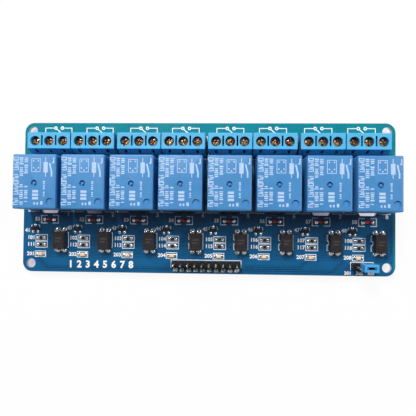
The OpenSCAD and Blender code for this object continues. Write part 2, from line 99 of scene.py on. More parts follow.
class BoardSettings(bpy.types.PropertyGroup):
    bare: colour("Bare mask", "Solder mask over bare laminate", "#0a8393")
    pour: colour("Mask on copper", "Solder mask over the copper pour", "#125c8b")
    # The etched gap's darker blue is partly the gap's own colour, partly painted shade along the step beside
    # each track.
    etched: colour("Etched gap", "Shaded gap between a track and the pour", "#0a3f68")
    laminate: colour("Laminate", "Sawn edge of the glass-epoxy laminate", "#c3c1c8")
    pour_margin: length("Pour margin", "Width of the bare strip along the board's edges", 0.9)
    track_width: length("Track width", "Width of a signal track", 0.4)
    gap_width: length("Gap width", "Width of the etched gap on each side of a track", 0.18)


class PrintSettings(bpy.types.PropertyGroup):
    ink: colour("Ink", "White legend ink", "#f8fbfc")
    line: length("Line", "Width of a part's outline", 0.21)
    figure: length("Figure height", "Height of the small figures", 1.35)
    title: length("Title height", "Height of the large figures", 2.5)


class RelaySettings(bpy.types.PropertyGroup):
    case: colour("Case", "Blue polyester of the relay cases", "#4388c2")
    ink: colour("Case print", "Pale pad-printed marks on the relays", "#b4cff0")
    base: colour("Base", "Potting and base under the relays", "#1b2f55")
    edge: length("Edge", "Radius of the small edges of the recesses", 0.06)


class TerminalSettings(bpy.types.PropertyGroup):
    housing: colour("Housing", "Blue nylon of the screw terminals", "#51b2e0")
    screw: colour("Screw", "Bright zinc of the screws", "#d8c09a")
    stain: colour("Stain", "Red-brown stain in the screws' yellow passivation", "#874a34")
    edge: length("Edge", "Radius of the housings' edges", 0.12)
    # fall and deep set painted shade: the housings' walls darker than their tops.
    fall: length("Fall", "Height over which the nylon's colour deepens below its top", 0.3)
    deep: factor("Deep", "Brightness of the nylon's walls as a share of its top's", 0.62)


class DriverSettings(bpy.types.PropertyGroup):
    body: colour("Chip body", "Black epoxy of optocouplers and transistors", "#1f191c")
    mark: colour("Mark", "Grey laser marks on the optocouplers", "#3a3437")
    glass: colour("Diode glass", "Red-orange glass of the diodes", "#ff4a30")
    lamp: colour("Lamp resin", "Cream resin of the status lamps", "#fad9bf")
    tin: colour("Tin", "Bright tin of leads and solder", "#dfe2e4")
    solder_height: length("Solder height", "How high the solder climbs up a through-hole pin", 1.0)


class HeaderSettings(bpy.types.PropertyGroup):
    strip: colour("Strip", "Black nylon of the header strips", "#0f0e10")
    pin: colour("Pin", "Gold flash on the header pins", "#d9d3be")
    cap: colour("Jumper cap", "Light blue polyester of the jumper cap", "#48a5e4")
    edge: length("Edge", "Radius of the strips' and pins' edges", 0.06)


class StudioSettings(bpy.types.PropertyGroup):
    camera_place: bpy.props.FloatVectorProperty(
        name="Camera place",
        description="Where the camera stands",
        default=(8.417 * MM, -7.775 * MM, 179.998 * MM),
        subtype="TRANSLATION",
        unit="LENGTH",
    )
    camera_turn: bpy.props.FloatVectorProperty(
        name="Camera turn",
        description="How the camera leans from looking straight down",
        default=(0.0237, 0.044, 0.0103),
        subtype="EULER",
        unit="ROTATION",
    )
    focal_length: bpy.props.FloatProperty(
        name="Focal length",
        description="Focal length on a 36 mm wide sensor",
        default=41.64,
        min=1.0,
        unit="CAMERA",
    )
    key: factor("Key", "Watts of the rear lamp", 5.0)
    left: factor("Left", "Watts of the left lamp", 1.3)
    right: factor("Right", "Watts of the right lamp", 2.5)
    lamp_size: length("Lamp height", "Height of the soft lamps", 300.0)
    sky: factor("Sky", "Strength of the studio's own light", 0.05)


class RelayBoardSettings(bpy.types.PropertyGroup):
    board: settings_group(BoardSettings, "Board", "Laminate, mask and copper")
    legend: settings_group(PrintSettings, "Legend", "White print on the board")
    relays: settings_group(RelaySettings, "Relays", "The eight relays")
    terminals: settings_group(TerminalSettings, "Terminals", "Screw terminals")
    drivers: settings_group(DriverSettings, "Drivers", "Small driver parts")
    headers: settings_group(HeaderSettings, "Headers", "Headers and jumper")
    studio: settings_group(StudioSettings, "Studio", "Camera, floor and lamps")


# ---- places read from the frame ----


def points_of(node):
    """A CAD node's vertices, in millimetres."""
    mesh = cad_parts[node].data
    flat = np.empty(len(mesh.vertices) * 3)
    mesh.vertices.foreach_get("co", flat)
    return flat.reshape(-1, 3) / MM


def triangles_of(node):
    """The corners of a CAD node's triangles, in millimetres."""
    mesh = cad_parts[node].data
    mesh.calc_loop_triangles()
    corners = np.empty(len(mesh.loop_triangles) * 3, np.int32)
    mesh.loop_triangles.foreach_get("vertices", corners)
    return points_of(node)[corners].reshape(-1, 3, 3)


def box_of(node):
    """Lowest and highest corner of a CAD node, in millimetres."""
    points = points_of(node)
    return points.min(axis=0), points.max(axis=0)


def middle_of(node):
    """Middle of a CAD node's box, in millimetres."""
    low, high = box_of(node)
    return (low + high) / 2


def groups_along(triangles, axis):
    """Triangles in groups that don't overlap along an axis, in order along it."""
    lows, highs = triangles[:, :, axis].min(axis=1), triangles[:, :, axis].max(axis=1)
    order = np.argsort(lows)
    reach = np.maximum.accumulate(highs[order])
    breaks = np.flatnonzero(lows[order][1:] > reach[:-1] + 0.02) + 1
    return [triangles[members] for members in np.split(order, breaks)]


def solids_of(node, below=np.inf):
    """X, Y, width and length of each solid of a node, told apart by the gaps along X and then along Y.
    With below, only walls that reach under that height count, so that a pin's own place is found."""
    triangles = triangles_of(node)
    triangles = triangles[triangles[:, :, 2].min(axis=1) < below]
    found = []
    for column in groups_along(triangles, 0):
        for solid in groups_along(column, 1):
            low, high = solid.reshape(-1, 3).min(axis=0), solid.reshape(-1, 3).max(axis=0)
            found.append((*(low + high)[:2] / 2, *(high - low)[:2]))
    return np.array(found)


BOARD_LOW, BOARD_HIGH = box_of("circuit_board")
TOP = BOARD_HIGH[2]
UNDERSIDE = BOARD_LOW[2]
FLOOR = box_of("input_pins")[0][2]
TAILED = ("relay_coil_pins", "relay_common_springs", "relay_open_contacts", "relay_closed_contacts",
          "terminal_clamps", "optocoupler_leads", "input_pins", "power_pins")


# ---- shapes, each a pair of points and faces ----


def grid_faces(rows, columns, wrap=True):
    """Four-sided faces between the points of a grid; wrap joins its last column to its first."""
    row, column = np.meshgrid(
        np.arange(rows - 1), np.arange(columns if wrap else columns - 1), indexing="ij"
    )
    following = (column + 1) % columns
    corners = [
        row * columns + column,
        row * columns + following,
        (row + 1) * columns + following,
        (row + 1) * columns + column,
    ]
    return np.stack(corners, axis=-1).reshape(-1, 4).tolist()


def joined(shapes):
    """Several shapes as one."""
    points, faces, start = [], [], 0
    for some_points, some_faces in shapes:
        points.append(some_points)
        faces += [[corner + start for corner in face] for face in some_faces]
        start += len(some_points)
    return np.concatenate(points), faces


def moved(shape, x=0.0, y=0.0, z=0.0, turn=0.0):
    """The shape, turned about Z by some degrees and then moved."""
    points, faces = shape
    cosine, sine = math.cos(math.radians(turn)), math.sin(math.radians(turn))
    spin = np.array([[cosine, sine, 0], [-sine, cosine, 0], [0, 0, 1]])
    return points @ spin + (x, y, z), faces


def tipped(shape):
    """The shape, with its Z axis laid along X."""
    points, faces = shape
    return points[:, [2, 1, 0]] * (1, -1, 1), faces


def turned(profile, sides=24):
    """Surface of revolution: each (radius, height) of the profile is carried round the Z axis."""
    profile = np.array(profile, float)
    angle = np.arange(sides) * 2 * math.pi / sides
    radius, height = profile[:, :1], profile[:, 1:]
    points = np.stack([radius * np.cos(angle), radius * np.sin(angle), height + 0 * angle], axis=-1)
    return points.reshape(-1, 3), grid_faces(len(profile), sides)


def ring(inner, outer, low, high, sides=28):
    """Flat ring: a small rectangle carried round the Z axis."""
    loop = [(inner, low), (outer, low), (outer, high), (inner, high), (inner, low)]
    return turned(loop, sides)


def disc(radius, low, high, sides=28):
    """Flat disc, closed at its middle."""
    return turned([(0, low), (radius, low), (radius, high), (0, high)], sides)


def soft_box(width, depth, height, radius, steps=3):
    """Box standing on Z = 0 with round edges: an eighth of a ball of that radius in each corner, with
    latitude and longitude as its two parameters, joined by the flats between them."""
    arc = np.linspace(0, math.pi / 2, steps + 1)
    around = np.concatenate([arc + quarter * math.pi / 2 for quarter in range(4)])
    side_x = np.repeat([1, -1, -1, 1], steps + 1) * (width / 2 - radius)
    side_y = np.repeat([1, 1, -1, -1], steps + 1) * (depth / 2 - radius)
    rise = np.concatenate([arc - math.pi / 2, arc])
    middle = np.repeat([radius, height - radius], steps + 1)
    points = np.stack(
        [
            side_x + radius * np.cos(rise)[:, None] * np.cos(around),
            side_y + radius * np.cos(rise)[:, None] * np.sin(around),
            (middle + radius * np.sin(rise))[:, None] + 0 * around,
        ],
        axis=-1,
    )
    columns = len(around)
    faces = grid_faces(len(rise), columns)
    corners = [quarter * (steps + 1) for quarter in range(4)]
    faces.append(corners[::-1])
    faces.append([(len(rise) - 1) * columns + corner for corner in corners])
    return points.reshape(-1, 3), faces


def dome(width, depth, height, power=2.0, sides=20, rings=5):
    """Low mound on a flat foot: a superellipse in plan and an ellipse in section, over angle and latitude."""
    angle = np.arange(sides) * 2 * math.pi / sides
    rise = np.linspace(0, math.pi / 2, rings + 1)[:, None]
    plan_x = np.sign(np.cos(angle)) * np.abs(np.cos(angle)) ** (2 / power) * width / 2
    plan_y = np.sign(np.sin(angle)) * np.abs(np.sin(angle)) ** (2 / power) * depth / 2
    z = height * np.sin(rise) + 0 * angle
    points = np.stack([plan_x * np.cos(rise), plan_y * np.cos(rise), z], axis=-1)
    faces = grid_faces(rings + 1, sides)
    faces.append(list(range(sides))[::-1])
    return points.reshape(-1, 3), faces


def strip(path, across, width, thickness):
    """Bent sheet metal: a rectangle carried along the path, with its long side along across.
    Each corner's offset is the mean of its neighbours' normals, long enough to keep the thickness."""
    path = np.array(path, float)
    across = np.array(across, float)
    width = np.broadcast_to(np.array(width, float), len(path))
    step = np.diff(path, axis=0)
    step /= np.linalg.norm(step, axis=1)[:, None]
    normal = np.cross(step, across)
    before = np.vstack([normal[:1], normal])
    after = np.vstack([normal, normal[-1:]])
    mitre = before + after
    mitre /= np.sum(mitre * before, axis=1)[:, None]
    side = across * width[:, None] / 2
    out = mitre * thickness / 2
    points = np.stack([path - side - out, path + side - out, path + side + out, path - side + out], axis=1)
    last = 4 * (len(path) - 1)
    faces = grid_faces(len(path), 4) + [[3, 2, 1, 0], [last, last + 1, last + 2, last + 3]]
    return points.reshape(-1, 3), faces


def ribbon(path, width, low, high, closed=False):
    """Flat line of ink or copper: a rectangle carried along a path in X and Y, mitred at the corners."""
    path = np.array(path, float)
    ends = np.vstack([path[-1:], path, path[:1]]) if closed else path
    step = np.diff(ends, axis=0)
    step /= np.linalg.norm(step, axis=1)[:, None]
    normal = np.stack([-step[:, 1], step[:, 0]], axis=1)
    before, after = (normal[:-1], normal[1:]) if closed else (
        np.vstack([normal[:1], normal]),
        np.vstack([normal, normal[-1:]]),
    )
    mitre = before + after
    mitre *= width / 2 / np.sum(mitre * before, axis=1)[:, None]
    left, right = path + mitre, path - mitre
    heights = [np.full((len(path), 1), level) for level in (low, high)]
    corners = [
        np.hstack([right, heights[0]]),
        np.hstack([left, heights[0]]),
        np.hstack([left, heights[1]]),
        np.hstack([right, heights[1]]),
    ]
    points = np.stack(corners, axis=1).reshape(-1, 3)
    if closed:
        count = len(path)
        row, column = np.meshgrid(np.arange(count), np.arange(4), indexing="ij")
        following, beside = (row + 1) % count, (column + 1) % 4
        faces = np.stack(
            [row * 4 + column, row * 4 + beside, following * 4 + beside, following * 4 + column], axis=-1
        )
        return points, faces.reshape(-1, 4).tolist()
    last = 4 * (len(path) - 1)
    return points, grid_faces(len(path), 4) + [[3, 2, 1, 0], [last, last + 1, last + 2, last + 3]]


def frame_line(x, y, width, depth, line, low, high):
    """Outline of a rectangle, drawn as a closed ribbon."""
    corners = [(x - width / 2, y - depth / 2), (x + width / 2, y - depth / 2),
               (x + width / 2, y + depth / 2), (x - width / 2, y + depth / 2)]
    return ribbon(corners, line, low, high, closed=True)


def arc(x, y, radius, start, end, steps=8):
    """Points along an arc, from one angle in degrees to another."""
    angle = np.radians(np.linspace(start, end, steps + 1))
    return np.stack([x + radius * np.cos(angle), y + radius * np.sin(angle)], axis=1)


def bars(places, sizes, low, high):
    """Many flat bars at once: each place and size is a pair along X and Y."""
    places, sizes = np.array(places, float), np.array(sizes, float)
    corner = np.array([(-1, -1), (1, -1), (1, 1), (-1, 1)]) / 2
    plan = places[:, None] + corner * sizes[:, None]
    layers = [np.concatenate([plan, np.full((*plan.shape[:2], 1), level)], axis=-1) for level in (low, high)]
    points = np.concatenate(layers, axis=1).reshape(-1, 3)
    box = np.array([(3, 2, 1, 0), (4, 5, 6, 7), (0, 1, 5, 4), (1, 2, 6, 5), (2, 3, 7, 6), (3, 0, 4, 7)])
    faces = (np.arange(len(places))[:, None, None] * 8 + box).reshape(-1, 4).tolist()
    return points, faces


def figures(text, height, x, y, low, high, weight):
    """Plain figures centred on a point, made a mesh before they are placed."""
    curve = bpy.data.curves.new("figures", "FONT")
    curve.body = text
    curve.align_x = "CENTER"
    curve.align_y = "CENTER"
    curve.size = height / 0.7
    curve.offset = weight
    curve.extrude = (high - low) / 2
    curve.resolution_u = 2
    letters = bpy.data.objects.new("figures", curve)
    bpy.context.scene.collection.objects.link(letters)
    bpy.context.view_layer.update()
    mesh = bpy.data.meshes.new_from_object(letters.evaluated_get(bpy.context.evaluated_depsgraph_get()))
    points = np.empty(len(mesh.vertices) * 3)
    mesh.vertices.foreach_get("co", points)
    faces = [list(polygon.vertices) for polygon in mesh.polygons]
    bpy.data.objects.remove(letters)
    bpy.data.curves.remove(curve)
    bpy.data.meshes.remove(mesh)
    return moved((points.reshape(-1, 3), faces), x, y, (low + high) / 2)


# ---- pieces in the scene ----


def finish_of(name):
    """A material that the finishes operator has made."""
    material = bpy.data.materials.get(name)
    if material is None:
        raise RuntimeError(f"run the finishes operator first: there is no finish {name!r}")
    return material


def soften(mesh, sharp=32.0):
    """Merges doubled points, turns the faces outwards and shades smooth across edges blunter than sharp."""
    work = bmesh.new()
    work.from_mesh(mesh)
    bmesh.ops.remove_doubles(work, verts=work.verts, dist=0.0005 * MM)
    bmesh.ops.recalc_face_normals(work, faces=work.faces)
    limit = math.radians(sharp)
    for face in work.faces:
        face.smooth = True
    for edge in work.edges:
        edge.smooth = len(edge.link_faces) == 2 and edge.calc_face_angle(0.0) < limit
    work.to_mesh(mesh)
    work.free()


def put(name, shape, finish, body="board", replaces=()):
    """Makes a piece from a shape in millimetres and lets it ride on a body of the frame."""
    points, faces = shape
    mesh = bpy.data.meshes.new(name)
    mesh.from_pydata((points * MM).tolist(), [], faces)
    soften(mesh)
    mesh.materials.append(finish_of(finish))
    piece = bpy.data.objects.new(name, mesh)
    bpy.context.scene.collection.objects.link(piece)
    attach(piece, body)
    if replaces:
        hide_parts(*replaces)
    return piece


def dress(node, finish):
    """Gives a CAD node that stays in view its finish."""
    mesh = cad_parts[node].data
    mesh.materials.clear()
    mesh.materials.append(finish_of(finish))


def eased(node, finish, edge, body="board"):
    """A merged copy of a CAD node with its edges eased by a small round, which stands in for the node."""
    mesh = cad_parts[node].data.copy()
    work = bmesh.new()
    work.from_mesh(mesh)
    bmesh.ops.remove_doubles(work, verts=work.verts, dist=0.001 * MM)
    bmesh.ops.dissolve_limit(work, angle_limit=math.radians(1), verts=work.verts, edges=work.edges)
    work.to_mesh(mesh)
    work.free()
    soften(mesh)
    mesh.materials.clear()
    mesh.materials.append(finish_of(finish))
    piece = bpy.data.objects.new(f"{node}_eased", mesh)
    bpy.context.scene.collection.objects.link(piece)
    rounding = piece.modifiers.new("Eased edges", "BEVEL")
    rounding.width = edge
    rounding.segments = 2
    rounding.limit_method = "ANGLE"
    rounding.angle_limit = math.radians(32)
    rounding.harden_normals = True
    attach(piece, body)
    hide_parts(node)
    return piece


# ---- finishes ----


def add(tree, kind, inputs=None, **settings):
    """Adds a node. Settings are its properties; inputs are values, or outputs to link to its sockets."""
    node = tree.nodes.new(kind)
    for name, value in settings.items():
        setattr(node, name, value)
    for socket, value in (inputs or {}).items():
        if isinstance(value, bpy.types.NodeSocket):
            tree.links.new(value, node.inputs[socket])
        else:
            node.inputs[socket].default_value = value
    return node


def begin(name, **fixed):
    """A new material: its tree, its Principled BSDF with the fixed values set, and Object coordinates."""
    material = bpy.data.materials.new(name)
    material.use_nodes = True
    tree = material.node_tree
    skin = tree.nodes["Principled BSDF"]
    for socket, value in fixed.items():
        skin.inputs[socket.replace("_", " ")].default_value = value
    where = add(tree, "ShaderNodeTexCoord").outputs["Object"]
    return tree, skin, where


def mottled(tree, where, base, patch, spread):
    """The base colour, lighter and darker by a spread, in soft patches of a size in millimetres."""
    cloud = add(tree, "ShaderNodeTexNoise", {"Vector": where, "Scale": 1 / (patch * MM), "Detail": 3.0})
    ends = {"From Min": 0.3, "From Max": 0.7, "To Min": 1 - spread, "To Max": 1 + spread}
    level = add(tree, "ShaderNodeMapRange", {"Value": cloud.outputs[0], **ends})
    return add(tree, "ShaderNodeHueSaturation", {"Color": base, "Value": level.outputs[0]}).outputs[0]


def roughened(tree, where, skin, patch, low, high):
    """Roughness that wanders between two values, in patches of a size in millimetres."""
    cloud = add(tree, "ShaderNodeTexNoise", {"Vector": where, "Scale": 1 / (patch * MM), "Detail": 4.0})
    ends = {"From Min": 0.35, "From Max": 0.65, "To Min": low, "To Max": high}
    level = add(tree, "ShaderNodeMapRange", {"Value": cloud.outputs[0], **ends})
    tree.links.new(level.outputs[0], skin.inputs["Roughness"])


def grained(tree, where, skin, grain, depth):
    """Fine bumps of a grain and a depth in millimetres."""
    pits = add(tree, "ShaderNodeTexNoise", {"Vector": where, "Scale": 1 / (grain * MM), "Detail": 2.0})
    bump = add(tree, "ShaderNodeBump", {"Height": pits.outputs[0], "Distance": depth * MM})
    tree.links.new(bump.outputs[0], skin.inputs["Normal"])


def moulded(name, base, patch=6.0, spread=0.05, rough=(0.35, 0.45), grain=0.35, depth=0.012, **fixed):
    """Moulded plastic: even colour with faint flow patches and the soft grain of an etched mould.
    The grain is drawn about twice as coarse as it is, so that it shows."""
    tree, skin, where = begin(name, **fixed)
    tree.links.new(mottled(tree, where, base, patch, spread), skin.inputs["Base Color"])
    roughened(tree, where, skin, patch / 3, *rough)
    grained(tree, where, skin, grain, depth)
    return tree, skin, where


def metal(name, base, patch=0.8, spread=0.08, rough=(0.2, 0.35), grain=0.12, depth=0.004):
    """Bare or plated metal: its colour clouds a little, and fine scratches and frost blur what it mirrors."""
    tree, skin, where = begin(name, Metallic=1.0)
    tree.links.new(mottled(tree, where, base, patch, spread), skin.inputs["Base Color"])
    roughened(tree, where, skin, patch, *rough)
    grained(tree, where, skin, grain, depth)


def deepened(tree, where, skin, top, fall, share):
    """The base colour falls to a share of itself below a height, all in millimetres: painted shade that makes
    the tinted nylon's walls darker than its top."""
    height = add(tree, "ShaderNodeSeparateXYZ", {"Vector": where}).outputs[2]
    ends = {"From Min": (top - fall) * MM, "From Max": top * MM, "To Min": share, "To Max": 1.0}
    level = add(tree, "ShaderNodeMapRange", {"Value": height, **ends})
    base = skin.inputs["Base Color"]
    # Painted shade: the wall colour is darkened towards the housing's foot.
    painted_shade_tint = {"Color": base.links[0].from_socket, "Value": level.outputs[0]}
    deep = add(tree, "ShaderNodeHueSaturation", painted_shade_tint)
    tree.links.new(deep.outputs[0], base)


def within(tree, value, limit, blur=0.06):
    """1 where a value lies below a limit in millimetres and 0 where it lies above, with a narrow blur."""
    return add(
        tree,
        "ShaderNodeMapRange",
        {
            "Value": value,
            "From Min": (limit - blur) * MM,
            "From Max": (limit + blur) * MM,
            "To Min": 1.0,
            "To Max": 0.0,
        },
    ).outputs[0]


def laminate_finish(s, name):
    """Glass-epoxy laminate under screened solder mask: glossy and a little uneven, teal where no copper
    lies under it and a deeper blue over the copper pour. The sawn edges and holes show the pale laminate,
    and the cloth's weave, 0.45 mm a thread, shows through the mask where it is bare."""
    tree, skin, where = begin(name)
    axes = add(tree, "ShaderNodeSeparateXYZ", {0: where}).outputs
    shares = {
        0: within(tree, axes[0], BOARD_HIGH[0] - s.pour_margin / MM),
        1: within(tree, axes[1], box_of("relay_case_1")[0][1]),
    }
    pour = add(tree, "ShaderNodeMath", shares, operation="MULTIPLY").outputs[0]
    threads = []
    for direction in ("X", "Y"):
        wave = add(
            tree,
            "ShaderNodeTexWave",
            {"Vector": where, "Scale": 0.157 / (0.45 * MM), "Distortion": 0.6},
            bands_direction=direction,
        )
        threads.append(wave.outputs[1])
    weave = add(tree, "ShaderNodeMath", {0: threads[0], 1: threads[1]}, operation="MULTIPLY").outputs[0]
    bare_level = add(tree, "ShaderNodeMapRange", {"Value": weave, "To Min": 0.95, "To Max": 1.06}).outputs[0]
    bare = add(tree, "ShaderNodeHueSaturation", {"Color": s.bare, "Value": bare_level}).outputs[0]
    mask = add(tree, "ShaderNodeMix", {0: pour, 6: bare, 7: s.pour}, data_type="RGBA").outputs[2]
    mask = mottled(tree, where, mottled(tree, where, mask, 9.0, 0.07), 0.5, 0.07)
    upright = add(tree, "ShaderNodeSeparateXYZ", {0: add(tree, "ShaderNodeNewGeometry").outputs["Normal"]})
    flat = add(tree, "ShaderNodeMath", {0: upright.outputs[2]}, operation="ABSOLUTE").outputs[0]
    flat = add(tree, "ShaderNodeMath", {0: flat, 1: 0.5}, operation="GREATER_THAN").outputs[0]
    edge = mottled(tree, where, s.laminate, 0.7, 0.12)
    skinned = add(tree, "ShaderNodeMix", {0: flat, 6: edge, 7: mask}, data_type="RGBA").outputs[2]
    tree.links.new(skinned, skin.inputs["Base Color"])
    roughened(tree, where, skin, 3.0, 0.16, 0.24)
    ripple = add(tree, "ShaderNodeTexNoise", {"Vector": where, "Scale": 1 / (1.6 * MM), "Detail": 2.0})
    height = add(tree, "ShaderNodeMath", {0: weave, 1: ripple.outputs[0]}, operation="ADD").outputs[0]
    bump = add(tree, "ShaderNodeBump", {"Height": height, "Distance": 0.012 * MM, "Strength": 0.7})
    tree.links.new(bump.outputs[0], skin.inputs["Normal"])


def ink_finish(name, base, rough=0.55):
    """Screened epoxy ink: matt and opaque, a little thin at places."""
    tree, skin, where = begin(name, Roughness=rough)
    tree.links.new(mottled(tree, where, base, 0.6, 0.08), skin.inputs["Base Color"])
    grained(tree, where, skin, 0.15, 0.006)


def glass_finish(name, base):
    """Fused glass bead, tinted right through: smooth and bright, with light carried inside it."""
    tree, skin, where = begin(name, Roughness=0.08, Subsurface_Weight=0.2, Subsurface_Scale=0.2 * MM)
    skin.inputs["Subsurface Radius"].default_value = (1.0, 0.35, 0.1)
    tree.links.new(mottled(tree, where, base, 0.5, 0.1), skin.inputs["Base Color"])


def lamp_finish(name, base):
    """Cast epoxy lens over a small chip: clear gloss outside, milky and warm inside."""
    tree, skin, where = begin(
        name, Roughness=0.12, IOR=1.52, Subsurface_Weight=0.6, Subsurface_Scale=0.4 * MM, Coat_Weight=0.4
    )
    skin.inputs["Subsurface Radius"].default_value = (1.0, 0.7, 0.35)
    tree.links.new(mottled(tree, where, base, 0.5, 0.06), skin.inputs["Base Color"])


def passivated_finish(name, zinc, stain):
    """Yellow-passivated steel, worn: zinc and red-brown stain side by side in patches of 0.4 mm."""
    tree, skin, where = begin(name, Metallic=1.0)
    cloud = add(tree, "ShaderNodeTexNoise", {"Vector": where, "Scale": 1 / (0.8 * MM), "Detail": 3.0})
    level = add(tree, "ShaderNodeMapRange", {"Value": cloud.outputs[0], "From Min": 0.42, "From Max": 0.6})
    both = add(tree, "ShaderNodeMix", {0: level.outputs[0], 6: stain, 7: zinc}, data_type="RGBA").outputs[2]
    tree.links.new(mottled(tree, where, both, 0.35, 0.3), skin.inputs["Base Color"])
    roughened(tree, where, skin, 0.5, 0.32, 0.5)
    grained(tree, where, skin, 0.3, 0.04)


def winding_finish(name, base):
    """Enamelled copper wire, wound: glossy turns 0.25 mm apart, which the ridges across Z draw."""
    tree, skin, where = begin(name, Metallic=0.7, Roughness=0.25, Coat_Weight=0.5)
    turns = add(
        tree,
        "ShaderNodeTexWave",
        {"Vector": where, "Scale": 0.157 / (0.25 * MM), "Distortion": 0.3},
        bands_direction="Z",
    )
    bump = add(tree, "ShaderNodeBump", {"Height": turns.outputs[1], "Distance": 0.05 * MM})
    tree.links.new(bump.outputs[0], skin.inputs["Normal"])
    tree.links.new(mottled(tree, where, base, 1.5, 0.1), skin.inputs["Base Color"])


LAMINATE = "Solder mask on glass-epoxy laminate, screened"
COPPER = "Copper track under solder mask, etched"
GAP = "Etched gap under solder mask"
LEGEND = "Epoxy legend ink, screened"
CASE = "PBT polyester relay case, moulded"
CASE_INK = "Pad-printing ink on polyester"
BASE = "Phenolic relay base, potted"
IRON = "Soft iron, zinc plated"
WINDING = "Enamelled copper wire, wound"
CONTACT = "Copper-silver contact metal, stamped"
BOBBIN = "Glass-filled nylon bobbin, moulded"
HOUSING = "Nylon terminal housing, moulded"
SCREW = "Yellow-passivated steel screw, pressed"
CLAMP = "Nickel-plated brass clamp, folded"
EPOXY = "Black epoxy, transfer moulded"
BODY_MARK = "Laser mark on black epoxy"
TIN = "Tinned copper lead, stamped"
SOLDER = "Tin solder, flowed"
GLASS = "Diode glass, fused"
BAND = "Black enamel band, fired"
CERAMIC = "Alumina ceramic, fired"
GLAZE = "Black resistor glaze, printed"
LAMP = "Epoxy lamp lens, cast"
STRIP = "Black nylon header strip, moulded"
GOLD = "Gold flash over nickel, plated"
CAP = "Light blue polyester jumper cap, moulded"


class RELAYBOARD_OT_finishes(bpy.types.Operator):
    """Make every finish: plastics, metals, laminate, inks and glass"""

    bl_idname = "relayboard.finishes"
    bl_label = "Finishes"

    def execute(self, context):
        s = context.scene.relay_board
        board, relays, terminals, drivers, headers = s.board, s.relays, s.terminals, s.drivers, s.headers
        laminate_finish(board, LAMINATE)
        # The mask fills the steps beside a track: it is as glossy as the pour and only a little raised.
        moulded(COPPER, board.pour, patch=9.0, spread=0.07, rough=(0.16, 0.24), grain=1.6)
        # The gaps' dark blue is partly their own colour, partly painted shade along the track's step.
        moulded(GAP, board.etched, patch=4.0, spread=0.1, rough=(0.2, 0.3), grain=0.8)
        ink_finish(LEGEND, s.legend.ink)
        # PBT: dense and slippery, with a satin skin that shows faint flow marks from the gate.
        moulded(CASE, relays.case, patch=7.0, spread=0.045, rough=(0.36, 0.48), grain=0.5, depth=0.05)
        ink_finish(CASE_INK, relays.ink, rough=0.5)
        moulded(BASE, relays.base, patch=4.0, spread=0.12, rough=(0.3, 0.5), grain=0.5, depth=0.03)
        metal(IRON, linear("#a8aaa6"), patch=2.0, rough=(0.3, 0.5))
        winding_finish(WINDING, linear("#b5562a"))
        metal(CONTACT, linear("#d49a62"), patch=1.2)
        moulded(BOBBIN, linear("#d9d3c2"), rough=(0.45, 0.6))
        # Nylon 66 is waxy; the housings' walls are darker than their tops by painted shade.
        tree, skin, where = moulded(
            HOUSING, terminals.housing, patch=5.0, spread=0.05, rough=(0.32, 0.45), grain=0.4, depth=0.012
        )
        top = box_of("terminal_housing_1")[1][2]
        deepened(tree, where, skin, top, terminals.fall / MM, terminals.deep)
        passivated_finish(SCREW, terminals.screw, terminals.stain)
        metal(CLAMP, linear("#c9c5b6"), patch=1.0)
        # Transfer-moulded epoxy is full of silica: matt, grey-black and finely pitted, with a weak sheen.
        moulded(EPOXY, drivers.body, patch=0.9, spread=0.28, rough=(0.42, 0.6), grain=0.22, depth=0.02,
                Specular_IOR_Level=0.35)
        metal(TIN, drivers.tin, patch=0.5, rough=(0.16, 0.28))
        metal(SOLDER, drivers.tin, patch=0.45, spread=0.1, rough=(0.14, 0.26), grain=0.4, depth=0.012)
        ink_finish(BODY_MARK, drivers.mark, rough=0.7)
        glass_finish(GLASS, drivers.glass)
        moulded(BAND, linear("#141315"), patch=0.5, rough=(0.2, 0.3), grain=0.3, depth=0.004)
        moulded(CERAMIC, linear("#d8d6cf"), patch=0.4, rough=(0.4, 0.55), grain=0.12, depth=0.008)
        moulded(GLAZE, linear("#232226"), patch=0.5, spread=0.12, rough=(0.18, 0.3), grain=0.3, depth=0.006)
        lamp_finish(LAMP, drivers.lamp)
        moulded(STRIP, headers.strip, patch=2.5, spread=0.15, rough=(0.38, 0.5), grain=0.3, depth=0.012,
                Specular_IOR_Level=0.4)
        metal(GOLD, headers.pin, patch=0.6, rough=(0.14, 0.26))
        moulded(CAP, headers.cap, patch=3.0, spread=0.05, rough=(0.28, 0.4), grain=0.4, depth=0.01)
        return {"FINISHED"}


# ---- studio ----


def soft_lamp(name, place, width, height, watts):
    """A soft lamp that faces the board; its place, width and height are in metres."""
    lamp = bpy.data.lights.new(name, "AREA")
    lamp.shape = "RECTANGLE"
    lamp.size = width
    lamp.size_y = height
    lamp.energy = watts
    stand = bpy.data.objects.new(name, lamp)
    stand.location = place
    aim = -np.array(place)
    stand.rotation_euler = (
        math.atan2(math.hypot(aim[0], aim[1]), -aim[2]),
        0.0,
        math.atan2(aim[1], aim[0]) - math.pi / 2,
    )
    bpy.context.scene.collection.objects.link(stand)


def seen_directly(tree):
    """1 for what the camera, a mirror or glass sees, and 0 for light that lands on the object."""
    path = add(tree, "ShaderNodeLightPath").outputs
    rays = {0: path["Is Camera Ray"], 1: path["Is Glossy Ray"]}
    seen = add(tree, "ShaderNodeMath", rays, operation="MAXIMUM").outputs[0]
    rays = {0: seen, 1: path["Is Transmission Ray"]}
    return add(tree, "ShaderNodeMath", rays, operation="MAXIMUM").outputs[0]


